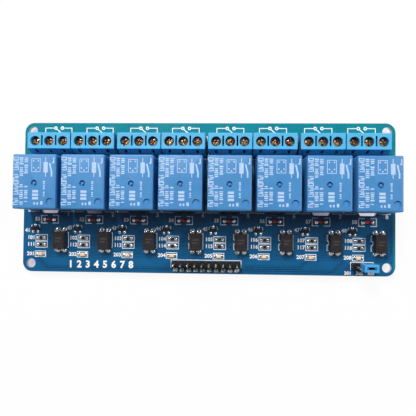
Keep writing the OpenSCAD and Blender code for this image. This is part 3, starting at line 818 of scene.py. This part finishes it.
def floor_finish(share):
    """White paper sweep: mostly shown as plain white, and for the rest lit, so that it keeps the shadow.
    Under the board the white fades towards its middle and turns lilac, a painted shade for the little light
    that gets in there, lighter at the board's right end than its left."""
    tree, skin, where = begin("White paper sweep, matt", Roughness=0.9)
    skin.inputs["Base Color"].default_value = linear("#f6f6f8")
    axes = add(tree, "ShaderNodeSeparateXYZ", {0: where}).outputs
    half_x, half_y = BOARD_HIGH[0] * MM, BOARD_HIGH[1] * MM
    # Each ramp: its axis, where it starts, where it ends, and how white it is there.
    # The first two ramps paint shade under the board: the white fades from its ends to nothing in its middle,
    # and is dimmer at the left end.
    ramps = [(0, half_x * 0.42, half_x, 0.95), (0, -half_x * 0.56, -half_x, 0.68)]
    edges = ((0, half_x), (0, -half_x), (1, half_y), (1, -half_y))
    ramps += [(axis, half, half * 1.01, 1.0) for axis, half in edges]
    white = None
    for axis, near, far, level in ramps:
        ends = {"Value": axes[axis], "From Min": near, "From Max": far, "To Max": level}
        ramp = add(tree, "ShaderNodeMapRange", ends).outputs[0]
        if white:
            ramp = add(tree, "ShaderNodeMath", {0: white, 1: ramp}, operation="MAXIMUM").outputs[0]
        white = ramp
    # Painted shade: where the white fades under the board, it turns lilac.
    painted_shade_tint = {0: white, 6: linear("#c6bbec"), 7: linear("#ffffff")}
    glow_colour = add(tree, "ShaderNodeMix", painted_shade_tint, data_type="RGBA").outputs[2]
    glow = add(tree, "ShaderNodeEmission", {"Color": glow_colour, "Strength": 1.0})
    shown = add(tree, "ShaderNodeMath", {0: white, 1: share}, operation="MULTIPLY").outputs[0]
    amount = add(tree, "ShaderNodeMath", {0: seen_directly(tree), 1: shown}, operation="MULTIPLY")
    both = add(tree, "ShaderNodeMixShader", {0: amount.outputs[0], 1: skin.outputs[0], 2: glow.outputs[0]})
    tree.links.new(both.outputs[0], tree.nodes["Material Output"].inputs["Surface"])


def studio_sky(strength):
    """White near the horizon and dimmer overhead, where the room's ceiling lies behind the lamps."""
    world = bpy.data.worlds.new("Studio")
    world.use_nodes = True
    tree = world.node_tree
    ray = add(tree, "ShaderNodeTexCoord").outputs["Generated"]
    height = add(tree, "ShaderNodeSeparateXYZ", {0: ray}).outputs[2]
    ceiling = add(
        tree,
        "ShaderNodeMapRange",
        {"Value": height, "From Min": 0.3, "From Max": 0.8, "To Min": 1.0, "To Max": 0.15},
    ).outputs[0]
    level = add(tree, "ShaderNodeMix", {0: seen_directly(tree), 2: strength, 3: ceiling})
    tree.links.new(level.outputs[0], tree.nodes["Background"].inputs["Strength"])
    tree.nodes["Background"].inputs["Color"].default_value = (1.0, 1.0, 1.0, 1.0)
    bpy.context.scene.world = world


class RELAYBOARD_OT_studio(bpy.types.Operator):
    """Set up the camera, the white floor, the lamps and the sky"""

    bl_idname = "relayboard.studio"
    bl_label = "Studio"

    def execute(self, context):
        s = context.scene.relay_board.studio
        camera_data = bpy.data.cameras.new("Camera")
        camera_data.lens = s.focal_length
        camera_data.sensor_width = 36.0
        camera_data.clip_start = 0.005
        camera = bpy.data.objects.new("Camera", camera_data)
        camera.location = s.camera_place
        camera.rotation_euler = s.camera_turn
        context.scene.collection.objects.link(camera)
        context.scene.camera = camera
        context.scene.view_settings.view_transform = "Standard"
        studio_sky(s.sky)
        floor_finish(share=0.93)
        reach, level = 3.0, FLOOR * MM
        mesh = bpy.data.meshes.new("floor")
        mesh.from_pydata([(x * reach, y * reach, level) for x, y in ((-1, -1), (1, -1), (1, 1), (-1, 1))],
                         [], [(0, 1, 2, 3)])
        mesh.materials.append(finish_of("White paper sweep, matt"))
        floor = bpy.data.objects.new("floor", mesh)
        context.scene.collection.objects.link(floor)
        soft_lamp("Rear lamp", (-0.15, 0.46, 0.62), 0.12, s.lamp_size, s.key)
        soft_lamp("Left lamp", (-0.57, 0.2, 0.45), 0.25, s.lamp_size, s.left)
        soft_lamp("Right lamp", (0.57, 0.2, 0.45), 0.25, s.lamp_size, s.right)
        return {"FINISHED"}


# ---- board: copper and legend ----


COPPER_LIFT = 0.035
GAP_LIFT = 0.012
INK_LIFT = 0.055
MAINS_WIDTH = 2.6


def channels_of(node):
    """Middles of a node's solids, one row of them for each channel from left to right."""
    places = solids_of(node)
    return places.reshape(len(CHANNELS), -1, 4)


def track(path, s):
    """A track on the board's top, and the etched gap on each side of it."""
    width, gap = s.track_width / MM, s.gap_width / MM
    copper = ribbon(path, width, TOP, TOP + COPPER_LIFT)
    return copper, ribbon(path, width + 2 * gap, TOP, TOP + GAP_LIFT)


def signal_paths():
    """Runs of the signal tracks on the top, in pairs that go straight, with 45 degree turns."""
    lamps = channels_of("status_lamps")[:, 0, :2]
    (left, _, _), (right, _, _) = box_of("input_header")
    spacing, start = 0.8, 1.2
    paths = []
    for twin in (0, 1):
        shift = twin * spacing * math.sqrt(2)
        # From the last two lamps down to the left, then along to the header or in front of it.
        runs = ((lamps[6], 0.8, 3.5, right + 1.6), (lamps[7], 4.6, 4.9, right - 1.0))
        for (x, y), offset, fall, end in runs:
            level = y - fall - twin * spacing
            bend = x - fall - offset + shift - twin * spacing
            paths.append([(x - start - offset + shift, y - start), (bend, level), (end, level)])
        # From the first lamp down to the right, then along in front of the header.
        x, y = lamps[0]
        level = y - 4.6 - twin * spacing
        bend = x + 2.8 - shift + twin * spacing
        paths.append([(x - 0.6 - shift, y - start), (bend, level), (left + 1.0, level)])
    return paths


def rail_paths():
    """Runs of the supply rails, which pass under the optocouplers along the whole row."""
    lamps = channels_of("status_lamps")[:, 0, :2]
    chips = channels_of("resistors")[:, :, 1]
    optos = np.array([middle_of(f"optocoupler_{n}")[:2] for n in CHANNELS])
    beside = 2.4
    paths = []
    for channel, ((x, y), (opto_x, opto_y)) in enumerate(zip(lamps, optos)):
        paths.append([(x + beside, y + 0.35), (opto_x + 0.8, y + 0.35), (opto_x + 1.8, y + 1.35)])
        paths.append([(x + beside, y - 0.75), (opto_x + 0.5, y - 0.75), (opto_x + 2.2, y + 0.95)])
        front, back = sorted(chips[channel])
        for level in (front, back - 1.1, back):
            paths.append([(x + beside, level), (opto_x - 2.8, level)])
        if channel < len(CHANNELS) - 1:
            next_x = lamps[channel + 1, 0] - 5.0
            paths.append([(opto_x + 2.8, opto_y - 1.9), (next_x, opto_y - 1.9)])
            paths.append([(opto_x + 2.8, opto_y + 0.6), (next_x, opto_y + 0.6)])
    # The last channel's rails run down the right-hand end.
    edge, top, (x, y) = BOARD_HIGH[0], box_of("relay_case_8")[0][1] - 2.5, lamps[-1]
    paths.append([(edge - 5.2, top), (edge - 3.5, top), (edge - 3.1, top - 0.4), (edge - 3.1, top - 5.6)])
    outer = [(edge - 1.6, top - 1.4), (edge - 1.6, y + 1.5), (edge - 4.4, y - 1.3)]
    paths.append([*outer, (x + beside, y - 1.3)])
    return paths


def mains_paths():
    """Wide runs on the underside: each relay's contacts to its terminal."""
    clamps = solids_of("terminal_clamps", below=-0.1)
    opened = solids_of("relay_open_contacts", below=-0.1)
    closed = solids_of("relay_closed_contacts", below=-0.1)
    common = solids_of("relay_common_springs", below=-0.1)
    paths = []
    for channel in range(len(CHANNELS)):
        left, middle, right = clamps[3 * channel : 3 * channel + 3, :2]
        paths.append([closed[channel, :2], (left[0], closed[channel, 1] + 1.2), left])
        paths.append([opened[channel, :2], (right[0], opened[channel, 1] + 1.2), right])
        x, y = common[channel, :2]
        paths.append([(x, y), (x, y + 6), (middle[0], middle[1] - 3), middle])
    return paths


class RELAYBOARD_OT_board(bpy.types.Operator):
    """Dress the circuit board and lay its tracks"""

    bl_idname = "relayboard.board"
    bl_label = "Board"

    def execute(self, context):
        s = context.scene.relay_board.board
        dress("circuit_board", LAMINATE)
        top = [track(path, s) for path in signal_paths() + rail_paths()]
        put("tracks", joined([copper for copper, _ in top]), COPPER)
        put("track_gaps", joined([gap for _, gap in top]), GAP)
        wide = [ribbon(path, MAINS_WIDTH, UNDERSIDE - COPPER_LIFT, UNDERSIDE) for path in mains_paths()]
        put("mains_tracks", joined(wide), COPPER)
        return {"FINISHED"}


class RELAYBOARD_OT_legend(bpy.types.Operator):
    """Print the white legend: outlines, plain figures and switch symbols"""

    bl_idname = "relayboard.legend"
    bl_label = "Legend"

    def execute(self, context):
        s = context.scene.relay_board.legend
        line, small, tall = s.line / MM, s.figure / MM, s.title / MM
        low, high = TOP, TOP + INK_LIFT
        outlines, numbers = [], []

        def box(x, y, width, depth):
            outlines.append(frame_line(x, y, width, depth, line, low, high))

        def path(points, wide=1.0):
            outlines.append(ribbon(points, line * wide, low, high))

        def number(text, x, y, height=small, weight=0.055):
            numbers.append(figures(text, height, x, y, low, high, weight))

        resistors, lamps = channels_of("resistors"), channels_of("status_lamps")
        transistors, diodes = channels_of("transistors"), channels_of("diodes")
        for n in CHANNELS:
            self.relay_outline(n, path, number)
            for x, y in self.switch_symbol(n, path):
                outlines.append(moved(ring(0.26, 0.66, low, high), x, y))
            x, y = diodes[n - 1, 0, :2]
            self.diode_brackets(x, y, path)
            number(f"5{n}", x - 4.7, y, small, 0.09)
            x, y = transistors[n - 1, 0, :2]
            for side in (-1, 1):
                path([(x + side * 1.15, y + 1.35), (x + side * 1.6, y + 0.95), (x + side * 1.6, y + 0.1)])
            number(f"4{n}", x - 3.0, y + (0.3 if n > 1 else -0.8))
            for row, (x, y) in enumerate(resistors[n - 1, ::-1, :2]):
                box(x + 0.05, y, 4.4, 2.2)
                number(f"1{row}{n}", x - 3.9, y)
            x, y = lamps[n - 1, 0, :2]
            box(x - 0.1, y, 4.0, 2.1)
            number(f"20{n}", x - 3.8, y)
            self.optocoupler_sides(n, path)
        self.header_frames(path, number)
        x, y = middle_of("relay_case_2")[0] + 2.7, middle_of("input_header")[1] - 0.7
        for n in CHANNELS:
            number(str(n), x + (n - 4.5) * 3.25, y, tall, 0.13)
        put("legend_outlines", joined(outlines), LEGEND)
        put("legend_figures", joined(numbers), LEGEND)
        return {"FINISHED"}

    def relay_outline(self, n, path, number):
        """Rectangle round a relay's foot, broken where the milled slot crosses it."""
        (left, front, _), (right, back, _) = box_of(f"relay_case_{n}")
        x = (left + right) / 2
        out, slot = 0.42, 3.9
        corners = [
            (x - slot, front - out),
            (left - out, front - out),
            (left - out, back + out),
            (right + out, back + out),
            (right + out, front - out),
            (x + slot, front - out),
        ]
        path(corners, 1.6)
        number(str(n), right - 0.7, front - 1.5, weight=0.12)

    def switch_symbol(self, n, path):
        """Change-over switch behind a terminal: leads and an open arm. Its contacts' places are returned."""
        (left, _, _), (right, back, _) = box_of(f"terminal_housing_{n}")
        x, y, pole, gap = (left + right) / 2, back + 3.35, 5.0, 1.25
        contacts = [(x + side * gap + 0.1, y) for side in (-1, 1)]
        for side, (contact, _) in zip((-1, 1), contacts):
            path([(contact + side * 0.6, y), (x + side * pole, y), (x + side * pole, back + 0.4)], 1.35)
        path([(x - gap + 0.5, y - 0.4), (x + gap + 0.5, back + 0.8)], 1.7)
        # The line round the housings shows behind them and in the gaps between their pairs.
        inner, outer = (right, left) if n % 2 else (left, right)
        side = 0.35 if n % 2 == 0 else -0.35
        path([(inner, back + 0.2), (outer + side, back + 0.2), (outer + side, back - 7.0)])
        return contacts

    def diode_brackets(self, x, y, path):
        """Two square brackets round a diode, open in the middle."""
        half_w, half_l, gap = 3.2, 1.45, 1.0
        for side in (-1, 1):
            edge, end = x + side * half_w, x + side * gap
            path([(end, y + half_l), (edge, y + half_l), (edge, y - half_l), (end, y - half_l)], 1.6)

    def optocoupler_sides(self, n, path):
        """A line along each side of an optocoupler, the left one with a half-round notch."""
        (left, front, _), (right, back, _) = box_of(f"optocoupler_{n}")
        x, y, out = (left + right) / 2, (front + back) / 2, 2.62
        low_y, high_y = y - 2.8, y + 2.8
        notch = arc(x - out, y, 0.75, 90, -90)
        path([(x - out + 0.4, high_y), (x - out, high_y), *notch, (x - out, low_y), (x - out + 0.4, low_y)])
        path([(x + out - 0.4, high_y), (x + out, high_y), (x + out, low_y), (x + out - 0.4, low_y)])

    def header_frames(self, path, number):
        """Line round each header, with a number in front of each pin."""
        for node, pins in (("input_header", "input_pins"), ("power_header", "power_pins")):
            (left, front, _), (right, back, _) = box_of(node)
            west, east, north = left - 0.3, right + 0.25, back + 0.2
            path([(west, front), (west, north), (east, north), (east, front)])
            places = solids_of(pins)[:, 0]
            middle, first, pitch, down = places.mean(), 60, places[1] - places[0], 1.0
            if node == "power_header":
                middle, first, pitch, down = middle - 0.9, 301, 4.2, 1.3
            for k in range(len(places)):
                number(str(first + k), middle + (k - (len(places) - 1) / 2) * pitch, front - down, 1.2, 0.09)


# ---- relays ----


CASE_INK_LIFT = 0.012


def tick_row(x, back, front, tick, pitch, seed):
    """A column of plain ticks across X, from back to front. Their thickness and the gaps between groups
    follow the remainders of whole-number sequences, so that each row is uneven in the same way every time."""
    count = int((back - front) / pitch)
    step = np.arange(count)
    kept = (step * 7 + seed) % 6 != 0
    thick = pitch * (0.48 + 0.3 * ((step * 5 + seed) % 3) / 2)
    span = tick * (0.72 + 0.28 * ((step * 3 + seed) % 4) / 3)
    places = np.stack([x + 0 * step, back - pitch * (step + 0.5)], axis=1)[kept]
    sizes = np.stack([span, thick], axis=1)[kept]
    return places, sizes


def bracket_row(x, back, front, wide, pitch, line, low, high):
    """A column of plain marks, back to front: boxes, brackets open to either side and pairs of ticks."""
    half, tall = wide / 2, pitch * 0.33
    shapes = []
    for step in range(int((back - front) / pitch)):
        y = back - pitch * (step + 0.5)
        kind = (step * 5) % 7
        if kind == 0:
            shapes.append(frame_line(x, y, wide, 2 * tall, line, low, high))
        elif kind < 3:
            side = half if kind == 1 else -half
            bracket = [(x - side, y + tall), (x + side, y + tall), (x + side, y - tall), (x - side, y - tall)]
            shapes.append(ribbon(bracket, line, low, high))
        elif kind < 6:
            ticks = [(x, y + tall * 0.8), (x + 0.1 * kind, y - tall * 0.8)]
            shapes.append(bars(ticks, [(wide, line), (wide * 0.8, line * 1.3)], low, high))
    return shapes


def relay_marks(x, y, top):
    """Print on a relay's top: rows of plain marks, a pin plan and a coil-and-contact symbol."""
    low, high = top, top + CASE_INK_LIFT
    rows = [
        tick_row(x - 4.45, y + 8.4, y + 0.6, 1.4, 0.66, 2),
        tick_row(x - 4.45, y - 0.9, y - 8.4, 1.4, 0.66, 4),
        tick_row(x - 2.8, y + 8.4, y + 1.4, 1.35, 0.64, 3),
        tick_row(x - 2.8, y - 1.5, y - 7.4, 1.35, 0.64, 5),
        tick_row(x + 3.5, y + 0.9, y - 5.6, 0.75, 0.62, 0),
    ]
    shapes = [bars(places, sizes, low, high) for places, sizes in rows]
    shapes += bracket_row(x - 6.35, y + 8.6, y - 8.5, 1.6, 1.2, 0.3, low, high)
    # Pin plan: the outline of the relay's foot with its five pins.
    plan_x, plan_y = x + 0.6, y + 5.6
    shapes.append(frame_line(plan_x, plan_y, 3.0, 4.4, 0.22, low, high))
    for dot_x, dot_y in ((-0.85, 1.5), (0.85, 1.5), (0, -1.6), (-0.85, -0.9), (0.85, -0.9)):
        shapes.append(moved(disc(0.28, low, high, 12), plan_x + dot_x, plan_y + dot_y))
    # Coil and contact: a filled coil between its leads, with the change-over contact beside it.
    coil_x, coil_y = x + 4.9, y + 4.9
    shapes.append(bars([(coil_x - 0.9, coil_y)], [(1.5, 3.6)], low, high))
    shapes.append(ribbon([(coil_x - 0.9, coil_y + 1.8), (coil_x - 0.9, coil_y + 3.4)], 0.3, low, high))
    shapes.append(ribbon([(coil_x - 0.9, coil_y - 1.8), (coil_x - 0.9, coil_y - 3.2)], 0.3, low, high))
    arm = [(coil_x + 1.2, coil_y - 3.2), (coil_x + 1.2, coil_y - 1.6), (coil_x + 0.5, coil_y + 1.4)]
    contact = [(coil_x + 1.9, coil_y + 3.4), (coil_x + 1.9, coil_y + 1.6), (coil_x + 1.3, coil_y + 1.6)]
    shapes.append(ribbon(arm, 0.55, low, high))
    shapes.append(ribbon(contact, 0.4, low, high))
    # Three bold bars and a short row beside the vent.
    bold = [(x + 0.5, y - down) for down in (3.4, 4.6, 5.8)]
    short = [(x + 0.2, y - 7.6), (x + 1.3, y - 7.6), (x + 2.7, y - 7.4)]
    shapes.append(bars(bold, [(2.1, 0.85)] * 3, low, high))
    shapes.append(bars(short, [(0.6, 0.8), (0.6, 0.8), (0.8, 1.2)], low, high))
    return joined(shapes)


class RELAYBOARD_OT_relays(bpy.types.Operator):
    """Dress the relays, their print and the works inside them"""

    bl_idname = "relayboard.relays"
    bl_label = "Relays"

    def execute(self, context):
        s = context.scene.relay_board.relays
        for n in CHANNELS:
            node = f"relay_case_{n}"
            eased(node, CASE, s.edge)
            x, y, _ = middle_of(node)
            put(f"relay_marks_{n}", relay_marks(x, y, box_of(node)[1][2]), CASE_INK)
            dress(f"relay_armature_{n}", IRON)
        dress("relay_bases", BASE)
        dress("relay_yokes", IRON)
        dress("relay_cores", IRON)
        dress("relay_bobbins", BOBBIN)
        dress("relay_windings", WINDING)
        dress("relay_coil_pins", TIN)
        dress("relay_common_springs", CONTACT)
        dress("relay_open_contacts", CONTACT)
        dress("relay_closed_contacts", CONTACT)
        return {"FINISHED"}


# ---- screw terminals ----


class RELAYBOARD_OT_terminals(bpy.types.Operator):
    """Dress the screw terminals with their screws and clamps"""

    bl_idname = "relayboard.terminals"
    bl_label = "Screw terminals"

    def execute(self, context):
        s = context.scene.relay_board.terminals
        for n in CHANNELS:
            eased(f"terminal_housing_{n}", HOUSING, s.edge)
        put("screw_heads", self.screws(), SCREW, replaces=("terminal_screws",))
        dress("terminal_clamps", CLAMP)
        dress("terminal_leaves", CONTACT)
        return {"FINISHED"}

    def screws(self):
        """Domed heads with a pressed cross, on threaded shanks. A head is a height over radius and angle: a
        parabola's dome, less a cross whose arms have soft walls. A shank's radius is a triangle wave."""
        low, high = box_of("terminal_screws")
        places = solids_of("terminal_screws")
        radius, top, rise, thick = places[0, 2] / 2, high[2], 0.35, 1.15
        sides, rings = 48, 14
        angle = np.arange(sides) * 2 * math.pi / sides
        out = np.linspace(0, 1, rings)[:, None] * (radius - 0.12)
        x, y = out * np.cos(angle), out * np.sin(angle)
        arm, reach, wall, depth = 0.24, 1.05, 0.1, 0.75
        along = np.clip((reach - np.maximum(np.abs(x), np.abs(y))) / wall, 0, 1)
        beside = np.clip((arm - np.minimum(np.abs(x), np.abs(y))) / wall, 0, 1)
        z = top - rise * (out / radius) ** 2 - depth * along * beside * (1 - 0.4 * out / radius)
        head = np.stack([x, y, z], axis=-1)[::-1]
        skirt = [(radius - 0.15, top - thick), (radius, top - thick + 0.15), (radius, top - rise - 0.14)]
        shank_radius, pitch = 1.15, 0.5
        bottom = low[2]
        levels = np.arange(bottom, top - thick, pitch / 2)
        thread = [(shank_radius - (0.16 if k % 2 else 0.0), level) for k, level in enumerate(levels)]
        profile = [(0.0, bottom), *thread, (shank_radius - 0.16, top - thick), *skirt]
        body, _ = turned(profile, sides)
        points = np.concatenate([body, head.reshape(-1, 3)])
        screw = (points, grid_faces(len(profile) + rings, sides))
        turns = np.arange(len(places)) * 37.0 % 90
        return joined([moved(screw, x, y, turn=turn) for (x, y, _, _), turn in zip(places, turns)])


# ---- driver parts ----


def optocoupler_leads():
    """Tinned leads: each leaves the body's end, turns down in a quarter circle and narrows into its hole."""
    bend, reach, thick = 0.3, 0.56, 0.25
    quarter = np.linspace(0, math.pi / 2, 5)
    shapes = []
    for n in CHANNELS:
        low, high = box_of(f"optocoupler_{n}")
        x, y, level = (low + high) / 2
        end = (high[1] - low[1]) / 2
        out = end + reach - bend
        curve = [(0.0, out + bend * math.sin(a), level - bend + bend * math.cos(a)) for a in quarter]
        foot = [(0.0, end + reach, TOP + 1.0), (0.0, end + reach, TOP + 0.8), (0.0, end + reach, FLOOR)]
        path = [(0.0, end - 0.15, level), *curve, *foot]
        width = [1.2] * (len(path) - 2) + [0.5, 0.5]
        lead = strip(path, (1.0, 0.0, 0.0), width, thick)
        pair = joined([moved(lead, x=side * 1.27) for side in (-1, 1)])
        shapes += [moved(pair, x, y, turn=turn) for turn in (0, 180)]
    return joined(shapes)


def chip_caps(x, y):
    """Two tinned end caps of a chip resistor, wrapped round its ends."""
    return [moved(soft_box(0.42, 1.27, 0.57, 0.08), x + side * 0.8, y, TOP) for side in (-1, 1)]


def end_solder(x, y, reach, width, height):
    """Solder mounds at both ends of a small part."""
    return [moved(dome(1.15, width, height, power=2.6), x + side * reach, y, TOP) for side in (-1, 1)]


class RELAYBOARD_OT_drivers(bpy.types.Operator):
    """Make the optocouplers, transistors, diodes, resistors and status lamps"""

    bl_idname = "relayboard.drivers"
    bl_label = "Driver parts"

    def execute(self, context):
        for n in CHANNELS:
            eased(f"optocoupler_{n}", EPOXY, 0.09 * MM)
        marks = []
        for n in CHANNELS:
            x, y, _ = middle_of(f"optocoupler_{n}")
            top = box_of(f"optocoupler_{n}")[1][2]
            places, sizes = [(x + 0.1, y + 0.7), (x - 0.2, y - 0.4)], [(2.3, 0.5), (1.7, 0.5)]
            marks.append(bars(places, sizes, top, top + 0.01))
        put("optocoupler_marks", joined(marks), BODY_MARK)
        put("optocoupler_strips", optocoupler_leads(), TIN, replaces=("optocoupler_leads",))
        self.transistors()
        self.diodes()
        self.resistors()
        self.lamps()
        return {"FINISHED"}

    def transistors(self):
        """Small black bodies with a chamfered back edge, on three stepped leads each."""
        eased("transistors", EPOXY, 0.05 * MM)
        low, high = box_of("transistors")
        half, level = (high[1] - low[1]) / 2, TOP + 0.5
        step = [(0.0, half - 0.1, level), (0.0, half + 0.12, level), (0.0, half + 0.26, TOP + 0.2),
                (0.0, half + 0.36, TOP + 0.08), (0.0, half + 0.55, TOP + 0.08)]
        lead = strip(step, (1.0, 0.0, 0.0), 0.42, 0.14)
        feet, pads = [], []
        for x, y, _, _ in solids_of("transistors"):
            for side, turn in ((0.0, 0), (-0.95, 180), (0.95, 180)):
                back = 1 if turn == 0 else -1
                points, faces = moved(lead, turn=turn)
                feet.append((points + (x + side, y, 0.0), faces))
                pads.append(moved(dome(0.95, 1.15, 0.34, power=3.0), x + side, y + back * (half + 0.55), TOP))
        put("transistor_feet", joined(feet), TIN, replaces=("transistor_leads",))
        put("transistor_solder", joined(pads), SOLDER)

    def diodes(self):
        """Glass beads between two tin caps, each with a black band by its cathode."""
        low, high = box_of("diodes")
        radius = (high[2] - low[2]) / 2
        glass, caps, bands, solder = [], [], [], []
        for x, y, width, _ in solids_of("diodes"):
            half, cap = width / 2, 0.55
            inner = half - cap
            bead = [
                (0.0, -inner - 0.1),
                (radius * 0.6, -inner - 0.1),
                (radius * 0.66, -inner + 0.2),
                (radius * 0.68, 0.0),
                (radius * 0.66, inner - 0.2),
                (radius * 0.6, inner + 0.1),
                (0.0, inner + 0.1),
            ]
            glass.append(moved(tipped(turned(bead)), x, y, TOP + radius))
            end = [(0.0, 0.0), (radius * 0.78, 0.0), (radius * 0.9, 0.1), (radius * 0.9, cap - 0.12),
                   (radius * 0.78, cap), (0.0, cap)]
            caps.append(moved(tipped(turned(end)), x + inner, y, TOP + radius))
            caps.append(moved(tipped(turned(end)), x - half, y, TOP + radius))
            bands.append(moved(tipped(ring(radius * 0.62, radius * 0.71, 0.35, 0.75)), x, y, TOP + radius))
            solder += end_solder(x, y, half + 0.05, 1.7, 0.75)
        put("diode_glass", joined(glass), GLASS, replaces=("diodes",))
        put("diode_caps", joined(caps), TIN)
        put("diode_bands", joined(bands), BAND)
        put("diode_solder", joined(solder), SOLDER)

    def resistors(self):
        """Ceramic chips with a black glaze on top, tinned end caps and solder at both ends."""
        bodies, glazes, caps, solder = [], [], [], []
        for x, y, _, _ in solids_of("resistors"):
            bodies.append(moved(soft_box(1.5, 1.25, 0.5, 0.05), x, y, TOP))
            glazes.append(moved(soft_box(1.15, 1.12, 0.12, 0.05), x, y, TOP + 0.43))
            caps += chip_caps(x, y)
            solder += end_solder(x, y, 1.25, 1.45, 0.5)
        put("resistor_bodies", joined(bodies), CERAMIC, replaces=("resistors",))
        put("resistor_glazes", joined(glazes), GLAZE)
        put("resistor_caps", joined(caps), TIN)
        put("resistor_solder", joined(solder), SOLDER)

    def lamps(self):
        """Lamps: a ceramic foot with tinned ends, and a cast lens with sloping ends on it."""
        feet, lenses, caps, solder = [], [], [], []
        for x, y, _, _ in solids_of("status_lamps"):
            feet.append(moved(soft_box(1.98, 1.25, 0.3, 0.04), x, y, TOP))
            lenses.append(moved(soft_box(1.7, 1.22, 0.52, 0.14), x, y, TOP + 0.28))
            caps += [moved(soft_box(0.3, 0.9, 0.33, 0.05), x + side * 0.9, y, TOP) for side in (-1, 1)]
            solder += end_solder(x, y, 1.3, 1.3, 0.3)
        put("lamp_feet", joined(feet), CERAMIC, replaces=("status_lamps",))
        put("lamp_lenses", joined(lenses), LAMP)
        put("lamp_caps", joined(caps), GOLD)
        put("lamp_solder", joined(solder), SOLDER)


# ---- headers and jumper ----


class RELAYBOARD_OT_headers(bpy.types.Operator):
    """Dress the pin headers and the jumper"""

    bl_idname = "relayboard.headers"
    bl_label = "Headers and jumper"

    def execute(self, context):
        edge = context.scene.relay_board.headers.edge
        for node in ("input_header", "power_header"):
            eased(node, STRIP, edge)
        for node in ("input_pins", "power_pins"):
            eased(node, GOLD, edge)
        eased("jumper_cap", CAP, 0.12 * MM, body="jumper")
        dress("jumper_clip", TIN)
        return {"FINISHED"}


# ---- solder ----


def fillet(pad, pin, height):
    """Solder round a pin: a quarter ellipse, hollow outwards, from the pad's edge up to the pin."""
    rise = np.linspace(0, math.pi / 2, 6)
    radius = pin + (pad - pin) * (1 - np.sin(rise))
    level = 0.05 + (height - 0.05) * (1 - np.cos(rise))
    slope = np.stack([radius, level], axis=1)
    return turned([(0.0, 0.0), (pad, 0.0), *slope, (0.0, height)], 20)


def flipped(shape):
    """The shape, upside down about the plane Z = 0."""
    points, faces = shape
    return points * (1, 1, -1), faces


class RELAYBOARD_OT_solder(bpy.types.Operator):
    """Solder every pin on the underside, and the optocouplers' and headers' pads on the top"""

    bl_idname = "relayboard.solder"
    bl_label = "Solder"

    def execute(self, context):
        height = context.scene.relay_board.drivers.solder_height / MM
        below = []
        for node in TAILED:
            for x, y, width, depth in solids_of(node, below=UNDERSIDE - 0.1):
                pin = math.hypot(width, depth) / 2 * 0.9
                pad = min(pin + 0.95, 1.12) if "pins" in node else pin + 0.9
                below.append(moved(flipped(fillet(pad, pin, height)), x, y, UNDERSIDE))
        put("solder_underside", joined(below), SOLDER)
        above = []
        for x, y, width, depth in solids_of("optocoupler_leads", below=UNDERSIDE - 0.1):
            above.append(moved(ring(0.42, 0.95, TOP, TOP + 0.05), x, y))
            above.append(moved(fillet(0.86, 0.34, 0.5), x, y, TOP))
        for node in ("input_pins", "power_pins"):
            for x, y, _, _ in solids_of(node, below=UNDERSIDE - 0.1):
                above.append(moved(ring(0.5, 0.95, TOP, TOP + 0.04), x, y))
        put("solder_top", joined(above), SOLDER)
        return {"FINISHED"}


# ---- panel and registration ----


PIECES = (
    RELAYBOARD_OT_finishes,
    RELAYBOARD_OT_studio,
    RELAYBOARD_OT_board,
    RELAYBOARD_OT_legend,
    RELAYBOARD_OT_relays,
    RELAYBOARD_OT_terminals,
    RELAYBOARD_OT_drivers,
    RELAYBOARD_OT_headers,
    RELAYBOARD_OT_solder,
)


class RELAYBOARD_PT_pieces(bpy.types.Panel):
    """Lists the board's settings and the steps that build its looks"""

    bl_label = "Relay board"
    bl_idname = "RELAYBOARD_PT_pieces"
    bl_space_type = "VIEW_3D"
    bl_region_type = "UI"
    bl_category = "Relay board"

    def draw(self, context):
        settings = context.scene.relay_board
        for group in ("board", "legend", "relays", "terminals", "drivers", "headers", "studio"):
            box = self.layout.box()
            part = getattr(settings, group)
            for name in part.bl_rna.properties.keys():
                if name not in ("rna_type", "name"):
                    box.prop(part, name)
        for operator in PIECES:
            self.layout.operator(operator.bl_idname)


CLASSES = (
    BoardSettings,
    PrintSettings,
    RelaySettings,
    TerminalSettings,
    DriverSettings,
    HeaderSettings,
    StudioSettings,
    RelayBoardSettings,
    *PIECES,
    RELAYBOARD_PT_pieces,
)


def register():
    """Makes the settings, steps and panel known, and gives the scene its settings."""
    for cls in CLASSES:
        bpy.utils.register_class(cls)
    bpy.types.Scene.relay_board = bpy.props.PointerProperty(type=RelayBoardSettings)


def unregister():
    """Takes the settings, steps and panel away again."""
    del bpy.types.Scene.relay_board
    for cls in reversed(CLASSES):
        bpy.utils.unregister_class(cls)


def main():
    """Runs every step in order."""
    register()
    bpy.ops.relayboard.finishes()
    bpy.ops.relayboard.studio()
    bpy.ops.relayboard.board()
    bpy.ops.relayboard.legend()
    bpy.ops.relayboard.relays()
    bpy.ops.relayboard.terminals()
    bpy.ops.relayboard.drivers()
    bpy.ops.relayboard.headers()
    bpy.ops.relayboard.solder()


if __name__ == "__main__":
    main()
